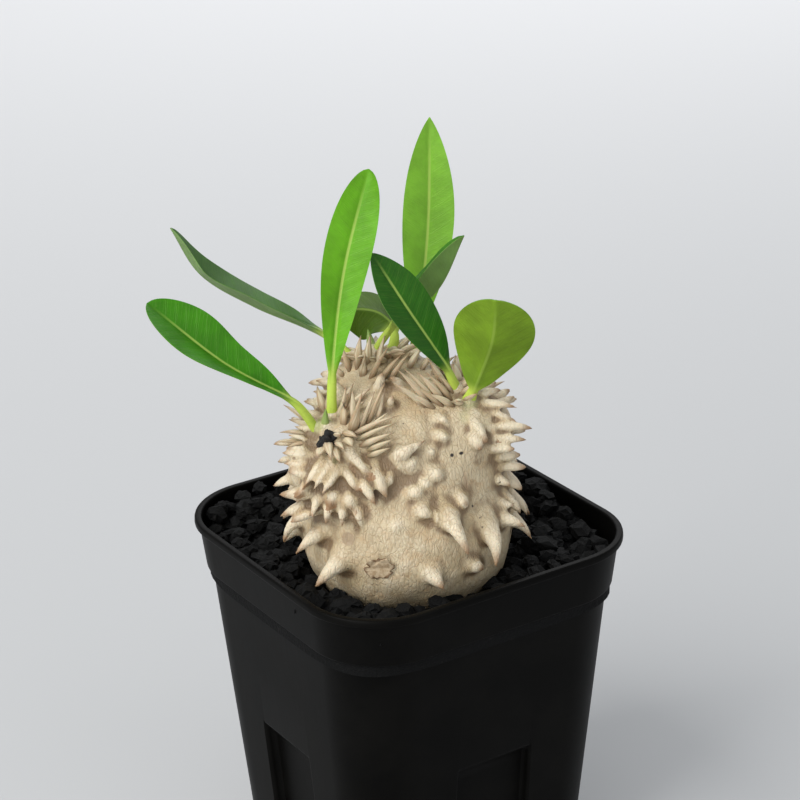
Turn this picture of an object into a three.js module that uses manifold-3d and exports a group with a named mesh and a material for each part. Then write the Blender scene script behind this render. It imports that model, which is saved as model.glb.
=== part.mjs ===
import * as THREE from "three";
import { mergeVertices } from "three/addons/utils/BufferGeometryUtils.js";
import Module from "manifold-3d";

const wasm = await Module();
wasm.setup();

// Potted Pachypodium eburneum, in millimetres with +Z up. The base of the pot is centred on the origin and
// its sides run along X and Y. The plant stands in its own group, turned about the upright axis of the pot.

// Pot
const POT_HEIGHT = 95;
const RIM_SIDE = 90;
const RIM_CORNER = 20.3;
const SIDE_TAPER = Math.tan((4.93 * Math.PI) / 180);
const COLLAR_HEIGHT = 13.6;
const COLLAR_SIDE = 87.7;
const BODY_SIDE = 85.1;
const BODY_CORNER = 18.2;
const CORNER_SHRINK = 0.042;
const WALL = 1.3;
const FLOOR = 2;
const LIP_HEIGHT = 2;
const LIP_STEP = 0.5;
const EDGE_ROUND = 0.6;
const SHOULDER_STEP = 0.6;
const INNER_LEDGE = 2;
const RIM_OPENING = 86.2;
const OPENING_FLARE = 0.8;
const OPENING_CORNER = 18.4;
const CORNER_STEPS = 6;
const OVER = 200;
const RECESS_WIDTH = 22;
const RECESS_HEIGHT = 44;
const RECESS_DEPTH = 3;
const RECESS_ROOF = 3;
const TOOL_MARGIN = 1;
const DRAIN_RADIUS = 4.5;
const DRAIN_OFFSET = 17;
const ROUND_SIDES = 16;

// Filling
const CLEAR = 0.3;
const SOIL_TOP = 78;
const GRAVEL_TOP = 87.6;
const STONE_PITCH = 7.2;
const STONE_SIZE = 3.7;
const STONE_INSET = 1;
const STONE_JITTER = 0.5;
const STONE_TILT = 1.3;
const STONE_BLOCK = 1.25;
const STONE_CORNERS = [0.7, 1.3];
const STONE_LONG = [0.9, 1.25];
const STONE_WIDE = [0.75, 1.1];
const STONE_TALL = 0.8;
const STONE_SIZES = [0.8, 1.25];
const STONE_RISE = [0.2, 1.8];
const ROW_SHIFT = 0.25;
const HEAP_START = 24;
const HEAP_RUN = 20;
const HEAP_FRONT = 0.6;
const HEAP_BACK = 5.6;
const STEM_AXIS = [-6, -7];
const UNDER_STEM = 20;

// Plant
const PLANT_TURN = (-33.03 * Math.PI) / 180;
const HEART = new THREE.Vector3(0, -9, 108);
const LOBES = [
  { at: [0, -10.5, 99.5], radii: [26.4, 26.2, 24.5] },
  { at: [-0.5, -6.5, 120], radii: [20.5, 19.5, 17] },
  { at: [-15, -17.5, 119.5], radii: [13, 12, 11.5] },
  { at: [13, -9, 124.5], radii: [12.5, 12, 10.5] },
  { at: [-5, 0, 130.5], radii: [12.5, 11.5, 9.5] },
];
const LOBE_BLEND = 6;
const LOBE_SCALE = 20;
const SKIN_AROUND = 40;
const SKIN_UP = 24;
const LONGEST_RAY = 70;
const WRINKLE = { depth: 0.35, around: 5, twist: 3, rings: 7 };
const SLOPE_STEP = 0.05;
const REACH_HALVINGS = 30;
const ROOT_TOP_RADIUS = 14;
const ROOT_TIP_RADIUS = 3;
const ROOT_TOP = 86;
const ROOT_TIP = 34;

// Patches of spines: the growing point they splay away from, the middle of the patch on the skin, the patch's
// radius and how many it holds.
const PATCHES = [
  { apex: [-18.5, -20.5, 130.5], middle: [-22, -23, 122], radius: 17, spines: 40 },
  { apex: [-18.5, -20.5, 130.5], middle: [-9, -20, 130], radius: 8, spines: 12 },
  { apex: [-18.5, -20.5, 130.5], middle: [-18, -10, 133], radius: 7, spines: 8 },
  { apex: [15, -13, 135.5], middle: [20.5, -12, 127], radius: 16, spines: 38 },
  { apex: [15, -13, 135.5], middle: [6, -10, 137], radius: 6.5, spines: 9 },
  { apex: [-6.5, 3, 141], middle: [-5, 4, 139], radius: 12.5, spines: 26 },
];

// Old spines low on the stem: bearing from the front, height angle, length, base radius, lean out, right, up.
const OLD_SPINES = [
  { bearing: -30, height: -15, length: 12.5, radius: 2, lean: [0.62, -0.6, -0.5] },
  { bearing: -50, height: -8, length: 9.5, radius: 1.7, lean: [0.62, -0.55, -0.55] },
  { bearing: -56, height: 18, length: 10.5, radius: 2.3, lean: [0.62, -0.62, -0.48] },
  { bearing: -64, height: 6, length: 9, radius: 1.6, lean: [0.62, -0.6, -0.5] },
  { bearing: 62, height: -5, length: 9, radius: 2.1, lean: [0.62, 0.66, -0.42] },
  { bearing: 40, height: -9, length: 8, radius: 1.7, lean: [0.62, 0.25, -0.75] },
  { bearing: 40, height: 6, length: 6.5, radius: 1.9, lean: [0.62, 0.5, -0.62] },
  { bearing: 25, height: 1, length: 7, radius: 1.7, lean: [0.55, 0.2, -0.8] },
  { bearing: 46, height: -29, length: 6.5, radius: 1.8, lean: [0.62, 0.76, -0.18] },
  { bearing: 17, height: -27, length: 5, radius: 1.8, lean: [0.6, 0.42, -0.66] },
  { bearing: 20, height: 31, length: 3.5, radius: 1.9, lean: [0.62, 0.5, -0.58] },
  { bearing: 5, height: 24, length: 3.5, radius: 2, lean: [0.62, 0.5, -0.6] },
  { bearing: -5, height: 40, length: 4, radius: 1.9, lean: [0.62, 0.43, -0.6] },
  { bearing: 15, height: 12, length: 3.5, radius: 2, lean: [0.6, 0.3, -0.7] },
  { bearing: -8, height: 46, length: 7.5, radius: 1.6, lean: [0.5, 0.8, 0.15] },
];
// The back and flanks carry scattered spines over this span of bearings and heights, in degrees.
const BACK_SPINES = { count: 20, bearing: 75, span: 210, height: -10, rise: 62, seed: 900 };
const SPINE_RADIUS = 1.5;
const SPINE_SLIM = 0.85;
const SPINE_RANGE = 0.35;
const SPINE_SINK = 1.6;
const SPINE_SHORTEST = 4.4;
const SPINE_LONGEST = 7;
const SPINE_UPRIGHT = 0.85;
const SPINE_LEAN = 0.25;
const SPINE_SPLAY = 0.045;
const SPINE_JITTER = 0.5;
const SPINE_DROOP = 0.1;
const YOUNG_SIDES = 4;
const OLD_SIDES = 6;
const HORN_STATIONS = [0.15, 0.6];
const HORN_TAPER = 0.7;
const HORN_SIDE = new THREE.Vector3(0.2, 0.1, 1);
const OLD_SPINE_DROOP = 0.12;
const BARE_TIP = 3.4;
const GOLDEN = Math.PI * (3 - Math.sqrt(5));
const GOLDEN_SHARE = (Math.sqrt(5) - 1) / 2;

// Leaves: points of the midrib from the stem to the tip, half width, where the blade starts,
// outline powers toward base and tip, fold of each half in degrees at base and tip,
// and which way the upper side looks at base and tip.
const LEAVES = [
  {
    path: [[-21.5, -20.5, 130], [-26, -21.5, 137], [-43, -21, 148], [-60.5, -17, 162]],
    half: 7.3, blade: 0.16, base: 1.3, tip: 0.62, fold: [48, 14],
    up: [[0.55, -0.35, 0.75], [0.4, -0.6, 0.7]],
  },
  {
    path: [[-12.5, 3.5, 138.5], [-19, 7.5, 143], [-37, 13, 149.5], [-50, 16, 157], [-57, 17, 169]],
    half: 6.5, blade: 0.14, base: 1.1, tip: 0.7, fold: [35, 20],
    up: [[0.35, 0.1, 0.9], [0.35, 0.1, 0.9]],
  },
  {
    path: [[-17.5, -18, 131.5], [-17, -16.5, 143], [-13.7, -11, 166], [-7, -6, 190.5]],
    half: 6.5, blade: 0.18, base: 1.3, tip: 0.74, fold: [28, 8],
    up: [[0.1, -0.95, 0.2], [-0.05, -0.95, 0.3]],
  },
  {
    path: [[13, -12.5, 136], [9.6, -13, 143.8], [1.2, -12, 157.4], [-7, -9, 170.5]],
    half: 6.6, blade: 0.14, base: 1.1, tip: 0.85, fold: [18, 12],
    up: [[0.5, -0.6, 0.6], [0.45, -0.7, 0.5]],
  },
  {
    path: [[16, -15.8, 135], [19.3, -19, 144.5], [21.5, -23, 153.5], [22.2, -26.5, 164.3]],
    half: 10.2, blade: 0.12, base: 1, tip: 0.66, fold: [20, 16],
    up: [[0.1, 0.85, 0.4], [0.2, 0.85, 0.35]],
  },
  {
    path: [[2.5, 5, 138], [3.5, 8, 141.5], [7, 18, 166.5], [8, 22, 194.5]],
    half: 6.6, blade: 0.12, base: 1, tip: 0.85, fold: [16, 10],
    up: [[0, -0.9, 0.4], [0, -0.95, 0.3]],
  },
  {
    path: [[-7, 1.5, 140.5], [-2.4, 1.5, 147.2], [8.8, 1, 157.2], [15.5, 2, 170.5]],
    half: 7.4, blade: 0.2, base: 1, tip: 0.85, fold: [52, 42],
    up: [[-0.8, 0.1, 0.58], [-0.76, 0.2, 0.6]],
  },
  {
    path: [[-2.5, 4.5, 139.5], [-2, 8, 144], [-5.5, 10.5, 147.3], [-10.5, 11.5, 148.2], [-15.5, 11, 147.6]],
    half: 8, blade: 0.25, base: 1.2, tip: 0.6, fold: [30, 40],
    up: [[-0.5, 0.75, -0.4], [-0.1, 0.75, -0.65]],
  },
];
const LEAF_STATIONS = 14;
const LEAF_ACROSS = 4;
const BLADE_THICK = 0.7;
const EDGE_THICK = 0.6;
const PETIOLE_HALF = 1.15;
const PETIOLE_THICK = 2;
const TIP_HALF = 0.35;
const SOCKET_DEPTH = 2.4;
const STALK_FADE = 0.25;
const SHOULDER = 0.3;

const BUDS = [
  { name: "bud_left", at: [-19, -21.6, 130.8], axis: [0.05, -0.1, 0.99], length: 5, radius: 1.2 },
  { name: "bud_right", at: [17, -10.5, 134.5], axis: [0.3, 0.2, 0.93], length: 4, radius: 1.2 },
  { name: "bud_back", at: [-7.5, 5, 140], axis: [-0.2, 0.3, 0.93], length: 5, radius: 1.4 },
];
const BUD_OUTLINE = [0.02, 0.75, 1, 0.85, 0.5, 0.12];
const BUD_SIDES = 8;
const STUB = {
  at: [-18.5, -25, 128], axis: [-0.28, -0.62, 0.73], length: 4.5, radius: 2.4,
  taper: 0.85, lump: 0.12, sides: 9,
};
const UPRIGHT = new THREE.Vector3(0, 1, 0);

// A repeatable draw between 0 and 1 for a whole number.
function draw(n) {
  const wave = Math.sin(n * 12.9898) * 43758.5453;
  return wave - Math.floor(wave);
}

// A repeatable draw between two bounds.
function between([low, high], n) {
  return low + (high - low) * draw(n);
}

function vec(list) {
  return new THREE.Vector3(...list);
}

function solidFrom(geometry) {
  const bare = geometry.clone();
  bare.deleteAttribute("normal");
  bare.deleteAttribute("uv");
  const merged = mergeVertices(bare, 1e-3);
  return new wasm.Manifold(
    new wasm.Mesh({
      numProp: 3,
      vertProperties: new Float32Array(merged.attributes.position.array),
      triVerts: new Uint32Array(merged.index.array),
    }),
  );
}

function geometryFrom(solid) {
  const mesh = solid.getMesh();
  const geometry = new THREE.BufferGeometry();
  geometry.setAttribute("position", new THREE.BufferAttribute(new Float32Array(mesh.vertProperties), 3));
  geometry.setIndex(new THREE.BufferAttribute(new Uint32Array(mesh.triVerts), 1));
  const flat = geometry.toNonIndexed();
  flat.computeVertexNormals();
  return flat;
}

function largestBody(solid) {
  const bodies = solid.decompose();
  return bodies.reduce((most, body) => (body.volume() > most.volume() ? body : most));
}

// A closed skin through rings that hold the same number of points. The ends are closed by fans, the last one
// round the tip where one is given.
function ringSkin(rings, tip) {
  const points = [];
  const count = rings[0].length;
  rings.forEach((ring) => ring.forEach((p) => points.push(p.x, p.y, p.z)));
  const faces = [];
  for (let i = 0; i + 1 < rings.length; i++) {
    for (let j = 0; j < count; j++) {
      const a = i * count + j;
      const b = i * count + ((j + 1) % count);
      faces.push(a, b, b + count);
      faces.push(a, b + count, a + count);
    }
  }
  [rings[0], rings[rings.length - 1]].forEach((ring, end) => {
    const middle = new THREE.Vector3();
    ring.forEach((p) => middle.addScaledVector(p, 1 / count));
    if (end === 1 && tip) middle.copy(tip);
    const centre = points.length / 3;
    points.push(middle.x, middle.y, middle.z);
    const first = end === 0 ? 0 : (rings.length - 1) * count;
    for (let j = 0; j < count; j++) {
      const a = first + j;
      const b = first + ((j + 1) % count);
      faces.push(...(end === 0 ? [b, a, centre] : [a, b, centre]));
    }
  });
  const geometry = new THREE.BufferGeometry();
  geometry.setAttribute("position", new THREE.BufferAttribute(new Float32Array(points), 3));
  geometry.setIndex(faces);
  return geometry;
}

// One ring of a square with rounded corners.
function squareRing(side, corner, z) {
  const ring = [];
  const inset = side / 2 - corner;
  [[1, 1], [-1, 1], [-1, -1], [1, -1]].forEach(([sx, sy], quarter) => {
    for (let i = 0; i <= CORNER_STEPS; i++) {
      const angle = ((quarter + i / CORNER_STEPS) * Math.PI) / 2;
      ring.push(
        new THREE.Vector3(sx * inset + corner * Math.cos(angle), sy * inset + corner * Math.sin(angle), z),
      );
    }
  });
  return ring;
}

function squareLoft(levels) {
  return solidFrom(ringSkin(levels.map(([side, corner, z]) => squareRing(side, corner, z))));
}

function bodySideAt(z) {
  return BODY_SIDE - 2 * SIDE_TAPER * (POT_HEIGHT - z);
}

function bodyCornerAt(z) {
  return BODY_CORNER - CORNER_SHRINK * (POT_HEIGHT - z);
}

// The hollow low on one side of the pot: a channel open at the base, with a roof that slopes out to the wall.
function recessTool(grow) {
  const half = RECESS_WIDTH / 2 + grow;
  const floorAt = bodySideAt(0) / 2 - RECESS_DEPTH - grow;
  const lean = SIDE_TAPER;
  const outer = RIM_SIDE;
  const profile = new THREE.Shape();
  profile.moveTo(floorAt, -TOOL_MARGIN);
  profile.lineTo(outer, -TOOL_MARGIN);
  profile.lineTo(outer, RECESS_HEIGHT + grow + outer - floorAt - lean * RECESS_HEIGHT);
  profile.lineTo(floorAt + lean * RECESS_HEIGHT, RECESS_HEIGHT + grow - RECESS_ROOF);
  const bar = new THREE.ExtrudeGeometry(profile, { depth: 2 * half, bevelEnabled: false });
  bar.translate(0, 0, -half);
  bar.rotateX(Math.PI / 2);
  return solidFrom(bar);
}

function fourRecesses(grow) {
  const one = recessTool(grow);
  return [0, 90, 180, 270].map((turn) => one.rotate([0, 0, turn])).reduce((all, next) => all.add(next));
}

// A block over the whole pot between two levels.
function slab(bottom, top) {
  return solidFrom(new THREE.BoxGeometry(OVER, OVER, top - bottom).translate(0, 0, (bottom + top) / 2));
}

// The room inside the pot, smaller than the pot's outside by the wall.
function cavity(shrink, top) {
  const collarFoot = POT_HEIGHT - COLLAR_HEIGHT;
  const inset = WALL + shrink;
  const opening = RIM_OPENING - 2 * shrink;
  const corner = OPENING_CORNER - shrink;
  const levels = [
    [bodySideAt(FLOOR) - 2 * inset, bodyCornerAt(FLOOR) - inset, FLOOR + shrink],
    [bodySideAt(collarFoot) - 2 * inset, bodyCornerAt(collarFoot) - inset, collarFoot],
    [bodySideAt(collarFoot) - 2 * inset + INNER_LEDGE, bodyCornerAt(collarFoot) - shrink, collarFoot + WALL],
    [opening, corner, POT_HEIGHT - OPENING_FLARE],
    [opening + OPENING_FLARE, corner + OPENING_FLARE / 2, POT_HEIGHT],
    [opening + OPENING_FLARE, corner + OPENING_FLARE / 2, POT_HEIGHT + OVER / 2],
  ];
  const room = squareLoft(levels).subtract(fourRecesses(WALL + shrink));
  return top === undefined ? room : room.intersect(slab(0, top));
}

function makePot() {
  const collarFoot = POT_HEIGHT - COLLAR_HEIGHT;
  const collarFootSide = COLLAR_SIDE - 2 * SIDE_TAPER * COLLAR_HEIGHT;
  const lipFoot = POT_HEIGHT - LIP_HEIGHT;
  const shell = squareLoft([
    [bodySideAt(0), bodyCornerAt(0), 0],
    [bodySideAt(collarFoot), bodyCornerAt(collarFoot), collarFoot],
    [collarFootSide - 2 * SHOULDER_STEP, bodyCornerAt(collarFoot) + SHOULDER_STEP, collarFoot],
    [collarFootSide, bodyCornerAt(collarFoot) + 2 * SHOULDER_STEP, collarFoot + SHOULDER_STEP],
    [COLLAR_SIDE, RIM_CORNER - 2 * LIP_STEP, lipFoot],
    [RIM_SIDE - LIP_STEP, RIM_CORNER - LIP_STEP, lipFoot],
    [RIM_SIDE, RIM_CORNER, lipFoot + EDGE_ROUND],
    [RIM_SIDE, RIM_CORNER, POT_HEIGHT - EDGE_ROUND],
    [RIM_SIDE - 2 * EDGE_ROUND, RIM_CORNER - EDGE_ROUND, POT_HEIGHT],
  ]);
  let pot = shell.subtract(fourRecesses(0)).subtract(cavity(0));
  for (const x of [-1, 1]) {
    for (const y of [-1, 1]) {
      const hole = new THREE.CylinderGeometry(DRAIN_RADIUS, DRAIN_RADIUS, 3 * FLOOR, ROUND_SIDES);
      hole.rotateX(Math.PI / 2).translate(x * DRAIN_OFFSET, y * DRAIN_OFFSET, FLOOR);
      pot = pot.subtract(solidFrom(hole));
    }
  }
  return pot;
}

// How far inside the stem a point is: lobes are ellipsoids that melt into one another.
function swell(x, y, z) {
  let sum = 0;
  for (const lobe of LOBES) {
    const [a, b, c] = lobe.radii;
    const away = Math.hypot((x - lobe.at[0]) / a, (y - lobe.at[1]) / b, (z - lobe.at[2]) / c);
    sum += Math.exp((-LOBE_BLEND * (away - 1) * Math.min(a, b, c)) / LOBE_SCALE);
  }
  return sum - 1;
}

// Distance from the heart of the stem to its skin in one direction.
function skinReach(direction) {
  let low = 0;
  let high = LONGEST_RAY;
  for (let i = 0; i < REACH_HALVINGS; i++) {
    const middle = (low + high) / 2;
    const p = HEART.clone().addScaledVector(direction, middle);
    if (swell(p.x, p.y, p.z) > 0) low = middle;
    else high = middle;
  }
  return low;
}

function skinPoint(direction, lift = 0) {
  return HEART.clone().addScaledVector(direction, skinReach(direction) + lift);
}

function skinNormal(point) {
  const { x, y, z } = point;
  const e = SLOPE_STEP;
  return new THREE.Vector3(
    swell(x - e, y, z) - swell(x + e, y, z),
    swell(x, y - e, z) - swell(x, y + e, z),
    swell(x, y, z - e) - swell(x, y, z + e),
  ).normalize();
}

// Bearing is counted from the front to the right, height from the level of the heart, both in degrees.
function skinDirection(bearing, height) {
  const b = THREE.MathUtils.degToRad(bearing);
  const h = THREE.MathUtils.degToRad(height);
  return new THREE.Vector3(Math.sin(b) * Math.cos(h), -Math.cos(b) * Math.cos(h), Math.sin(h));
}

function makeSkin(grow) {
  const rings = [];
  for (let i = 1; i < SKIN_UP; i++) {
    const polar = Math.PI * (1 - i / SKIN_UP);
    const ring = [];
    for (let j = 0; j < SKIN_AROUND; j++) {
      const around = (2 * Math.PI * j) / SKIN_AROUND;
      const direction = new THREE.Vector3(
        Math.sin(polar) * Math.cos(around),
        Math.sin(polar) * Math.sin(around),
        Math.cos(polar),
      );
      const spiral = Math.sin(WRINKLE.around * around + WRINKLE.twist * polar);
      const wave = spiral * Math.sin(WRINKLE.rings * polar);
      ring.push(skinPoint(direction, grow + WRINKLE.depth * wave));
    }
    rings.push(ring);
  }
  return solidFrom(ringSkin(rings));
}

function makeRoot(grow) {
  const length = ROOT_TOP - ROOT_TIP + grow;
  const [top, tip] = [ROOT_TOP_RADIUS + grow, ROOT_TIP_RADIUS + grow];
  const root = new THREE.CylinderGeometry(top, tip, length, ROUND_SIDES);
  root.rotateX(Math.PI / 2).translate(HEART.x, HEART.y, ROOT_TOP - length / 2);
  return solidFrom(root);
}

// A horn from a point along a direction, curving by the bend vector and thinning to a point.
function horn(base, along, bend, length, radius, sides, grow) {
  const side = new THREE.Vector3().crossVectors(along, HORN_SIDE).normalize();
  const other = new THREE.Vector3().crossVectors(along, side).normalize();
  const middleAt = (s) =>
    base.clone().addScaledVector(along, length * s).addScaledVector(bend, Math.max(s, 0) ** 2);
  const foot = -SPINE_SINK / length;
  const stations = sides > YOUNG_SIDES ? [foot, ...HORN_STATIONS] : [foot];
  const rings = stations.map((s) => {
    const wide = grow + radius * (1 - Math.max(s, 0)) ** HORN_TAPER;
    return Array.from({ length: sides }, (_, k) => {
      const turn = (2 * Math.PI * k) / sides;
      return middleAt(s)
        .addScaledVector(side, wide * Math.cos(turn))
        .addScaledVector(other, wide * Math.sin(turn));
    });
  });
  return solidFrom(ringSkin(rings, middleAt(1 + (2 * grow) / length)));
}

// A vector of three draws between minus and plus a half, the last one leaning down by the droop.
function shake(seed, droop) {
  return new THREE.Vector3(draw(seed) - 0.5, draw(seed + 1) - 0.5, draw(seed + 2) - 0.5 - droop);
}

function youngSpine(base, along, seed, grow) {
  const length = SPINE_SHORTEST + (SPINE_LONGEST - SPINE_SHORTEST) * draw(seed);
  const radius = SPINE_RADIUS * (SPINE_SLIM + SPINE_RANGE * draw(seed + 1));
  return horn(base, along, new THREE.Vector3(), length, radius, YOUNG_SIDES, grow);
}

function oldSpines(grow) {
  return OLD_SPINES.map((spine) => {
    const base = skinPoint(skinDirection(spine.bearing, spine.height));
    const normal = skinNormal(base);
    const right = new THREE.Vector3(0, 0, 1).cross(normal).normalize();
    const up = new THREE.Vector3().crossVectors(normal, right);
    const [outward, sideways, upward] = spine.lean;
    const along = new THREE.Vector3()
      .addScaledVector(normal, outward)
      .addScaledVector(right, sideways)
      .addScaledVector(up, upward)
      .normalize();
    const droop = normal.clone().multiplyScalar(-OLD_SPINE_DROOP * spine.length);
    return horn(base, along, droop, spine.length, spine.radius, OLD_SIDES, grow);
  });
}

// Each patch's spines stand in a golden-angle spiral over its patch of skin, upright by the growing point and
// splayed away from it lower down.
function patchSpines(grow) {
  const horns = [];
  PATCHES.forEach((patch, h) => {
    const apex = vec(patch.apex);
    const middle = vec(patch.middle);
    const facing = skinNormal(middle);
    const side = new THREE.Vector3(0, 0, 1).cross(facing).normalize();
    const other = new THREE.Vector3().crossVectors(facing, side);
    for (let k = 0; k < patch.spines; k++) {
      const seed = 100 * h + 3 * k;
      const away = patch.radius * Math.sqrt((k + 0.7) / patch.spines);
      const spot = middle
        .clone()
        .addScaledVector(side, away * Math.cos(k * GOLDEN))
        .addScaledVector(other, away * Math.sin(k * GOLDEN));
      const base = skinPoint(spot.sub(HEART).normalize());
      const spread = base.clone().sub(apex);
      const far = spread.length();
      if (far < BARE_TIP) continue;
      const along = skinNormal(base)
        .multiplyScalar(SPINE_UPRIGHT)
        .addScaledVector(spread.normalize(), SPINE_LEAN + SPINE_SPLAY * far)
        .addScaledVector(shake(seed, SPINE_DROOP), SPINE_JITTER)
        .normalize();
      horns.push(youngSpine(base, along, seed + 3, grow));
    }
  });
  return horns;
}

// Scattered spines on the back and flanks of the stem.
function backSpines(grow) {
  const horns = [];
  for (let k = 0; k < BACK_SPINES.count; k++) {
    const bearing = BACK_SPINES.bearing + BACK_SPINES.span * ((k * GOLDEN_SHARE) % 1);
    const height = BACK_SPINES.height + (BACK_SPINES.rise * (k + 0.5)) / BACK_SPINES.count;
    const base = skinPoint(skinDirection(bearing, height));
    const seed = BACK_SPINES.seed + 5 * k;
    const along = skinNormal(base).add(shake(seed, SPINE_DROOP)).normalize();
    horns.push(youngSpine(base, along, seed + 3, grow));
  }
  return horns;
}

function stemWithSpines(grow) {
  const parts = [makeRoot(grow), ...oldSpines(grow), ...backSpines(grow), ...patchSpines(grow)];
  return wasm.Manifold.union([makeSkin(grow), ...parts]);
}

function smooth(t) {
  const c = Math.min(1, Math.max(0, t));
  return c * c * (3 - 2 * c);
}

// Half width of a leaf at a share of its length: a thin stalk, then a blade that swells and comes to its tip.
function leafHalf(leaf, s) {
  const t = (s - leaf.blade) / (1 - leaf.blade);
  if (t <= 0) return PETIOLE_HALF;
  const widest = leaf.base / (leaf.base + leaf.tip);
  const swellAt = (u) => u ** leaf.base * (1 - u) ** leaf.tip;
  const blade = (leaf.half * swellAt(Math.min(t, 1))) / swellAt(widest);
  return Math.max(blade, PETIOLE_HALF * (1 - smooth(t / SHOULDER)), TIP_HALF);
}

// A leaf is rings of a folded strip carried along the midrib, upper side first, then the under side.
function makeLeaf(leaf, grow = 0) {
  const points = leaf.path.map(vec);
  const inward = points[0].clone().sub(points[1]).normalize();
  points.unshift(points[0].clone().addScaledVector(inward, SOCKET_DEPTH));
  const curve = new THREE.CatmullRomCurve3(points, false, "centripetal");
  const rings = [];
  for (let i = 0; i <= LEAF_STATIONS; i++) {
    const s = i / LEAF_STATIONS;
    const middle = curve.getPointAt(s);
    const along = curve.getTangentAt(s);
    const up = vec(leaf.up[0]).lerp(vec(leaf.up[1]), s);
    const side = new THREE.Vector3().crossVectors(along, up).normalize();
    const above = new THREE.Vector3().crossVectors(side, along).normalize();
    const half = leafHalf(leaf, s) + grow;
    const stalk = 1 - smooth((s - leaf.blade * 0.8) / STALK_FADE);
    const fold = THREE.MathUtils.degToRad(leaf.fold[0] + (leaf.fold[1] - leaf.fold[0]) * s) * (1 - stalk);
    const ring = [];
    const strip = (face) => {
      for (let j = 0; j <= LEAF_ACROSS; j++) {
        const t = (1 - (2 * j) / LEAF_ACROSS) * face;
        const edge = Math.abs(t);
        const blade = BLADE_THICK + (EDGE_THICK - BLADE_THICK) * edge;
        const round = PETIOLE_THICK * Math.sqrt(Math.max(0.12, 1 - edge * edge));
        const thick = blade + (round - blade) * stalk + 2 * grow;
        const out = half * t * Math.cos(fold);
        const lift = half * edge * Math.sin(fold) + (face * thick) / 2;
        ring.push(middle.clone().addScaledVector(side, out).addScaledVector(above, lift));
      }
    };
    strip(1);
    strip(-1);
    rings.push(ring.reverse());
  }
  return solidFrom(ringSkin(rings));
}

function makeBud(bud, grow = 0) {
  const axis = vec(bud.axis).normalize();
  const base = vec(bud.at).addScaledVector(axis, -SOCKET_DEPTH);
  const length = bud.length + SOCKET_DEPTH + grow;
  const outline = BUD_OUTLINE.map((share, i) => {
    const along = (length * i) / (BUD_OUTLINE.length - 1) - grow;
    return new THREE.Vector2(bud.radius * share + grow, along);
  });
  outline.unshift(new THREE.Vector2(0, -grow));
  outline.push(new THREE.Vector2(0, length));
  const spindle = new THREE.LatheGeometry(outline, BUD_SIDES);
  spindle.applyQuaternion(new THREE.Quaternion().setFromUnitVectors(UPRIGHT, axis));
  spindle.translate(base.x, base.y, base.z);
  return solidFrom(spindle);
}

function makeStub(grow = 0) {
  const axis = vec(STUB.axis).normalize();
  const top = STUB.radius * STUB.taper + grow;
  const plug = new THREE.CylinderGeometry(top, STUB.radius + grow, STUB.length + 2 * grow, STUB.sides, 2);
  const place = plug.attributes.position;
  for (let i = 0; i < place.count; i++) {
    const turn = Math.atan2(place.getZ(i), place.getX(i));
    const lump = 1 + STUB.lump * Math.sin(3 * turn + place.getY(i));
    place.setX(i, place.getX(i) * lump);
    place.setZ(i, place.getZ(i) * lump);
  }
  plug.applyQuaternion(new THREE.Quaternion().setFromUnitVectors(UPRIGHT, axis));
  plug.translate(...STUB.at);
  return solidFrom(plug);
}

function makeStem() {
  let stem = stemWithSpines(0);
  const leafTools = LEAVES.map((leaf) => makeLeaf(leaf, CLEAR));
  const budTools = BUDS.map((bud) => makeBud(bud, CLEAR));
  [...leafTools, ...budTools, makeStub(CLEAR)].forEach((tool) => {
    stem = stem.subtract(tool);
  });
  return largestBody(stem);
}

// One angular stone: a block with its corners drawn in or out, squashed and turned. Where the dressing is
// heaped up, the block is drawn down to reach the layer below.
function stone(seed, x, y, top, size, heap) {
  const block = new THREE.BoxGeometry(STONE_BLOCK, STONE_BLOCK, STONE_BLOCK);
  const rough = mergeVertices(block.deleteAttribute("normal").deleteAttribute("uv"), 1e-3);
  const place = rough.attributes.position;
  for (let i = 0; i < place.count; i++) {
    const far = between(STONE_CORNERS, seed * 13 + i);
    place.setXYZ(i, place.getX(i) * far, place.getY(i) * far, place.getZ(i) * far);
  }
  const long = size * between(STONE_LONG, seed + 1);
  const wide = size * between(STONE_WIDE, seed + 2);
  rough.scale(long, wide, size * STONE_TALL + heap / 2);
  const tilt = heap > 1 ? STONE_TILT / 3 : STONE_TILT;
  rough.rotateX(tilt * (draw(seed + 3) - 0.5));
  rough.rotateY(tilt * (draw(seed + 4) - 0.5));
  rough.rotateZ(2 * Math.PI * draw(seed + 5));
  rough.translate(x, y, top - heap / 2);
  return solidFrom(rough);
}

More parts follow.
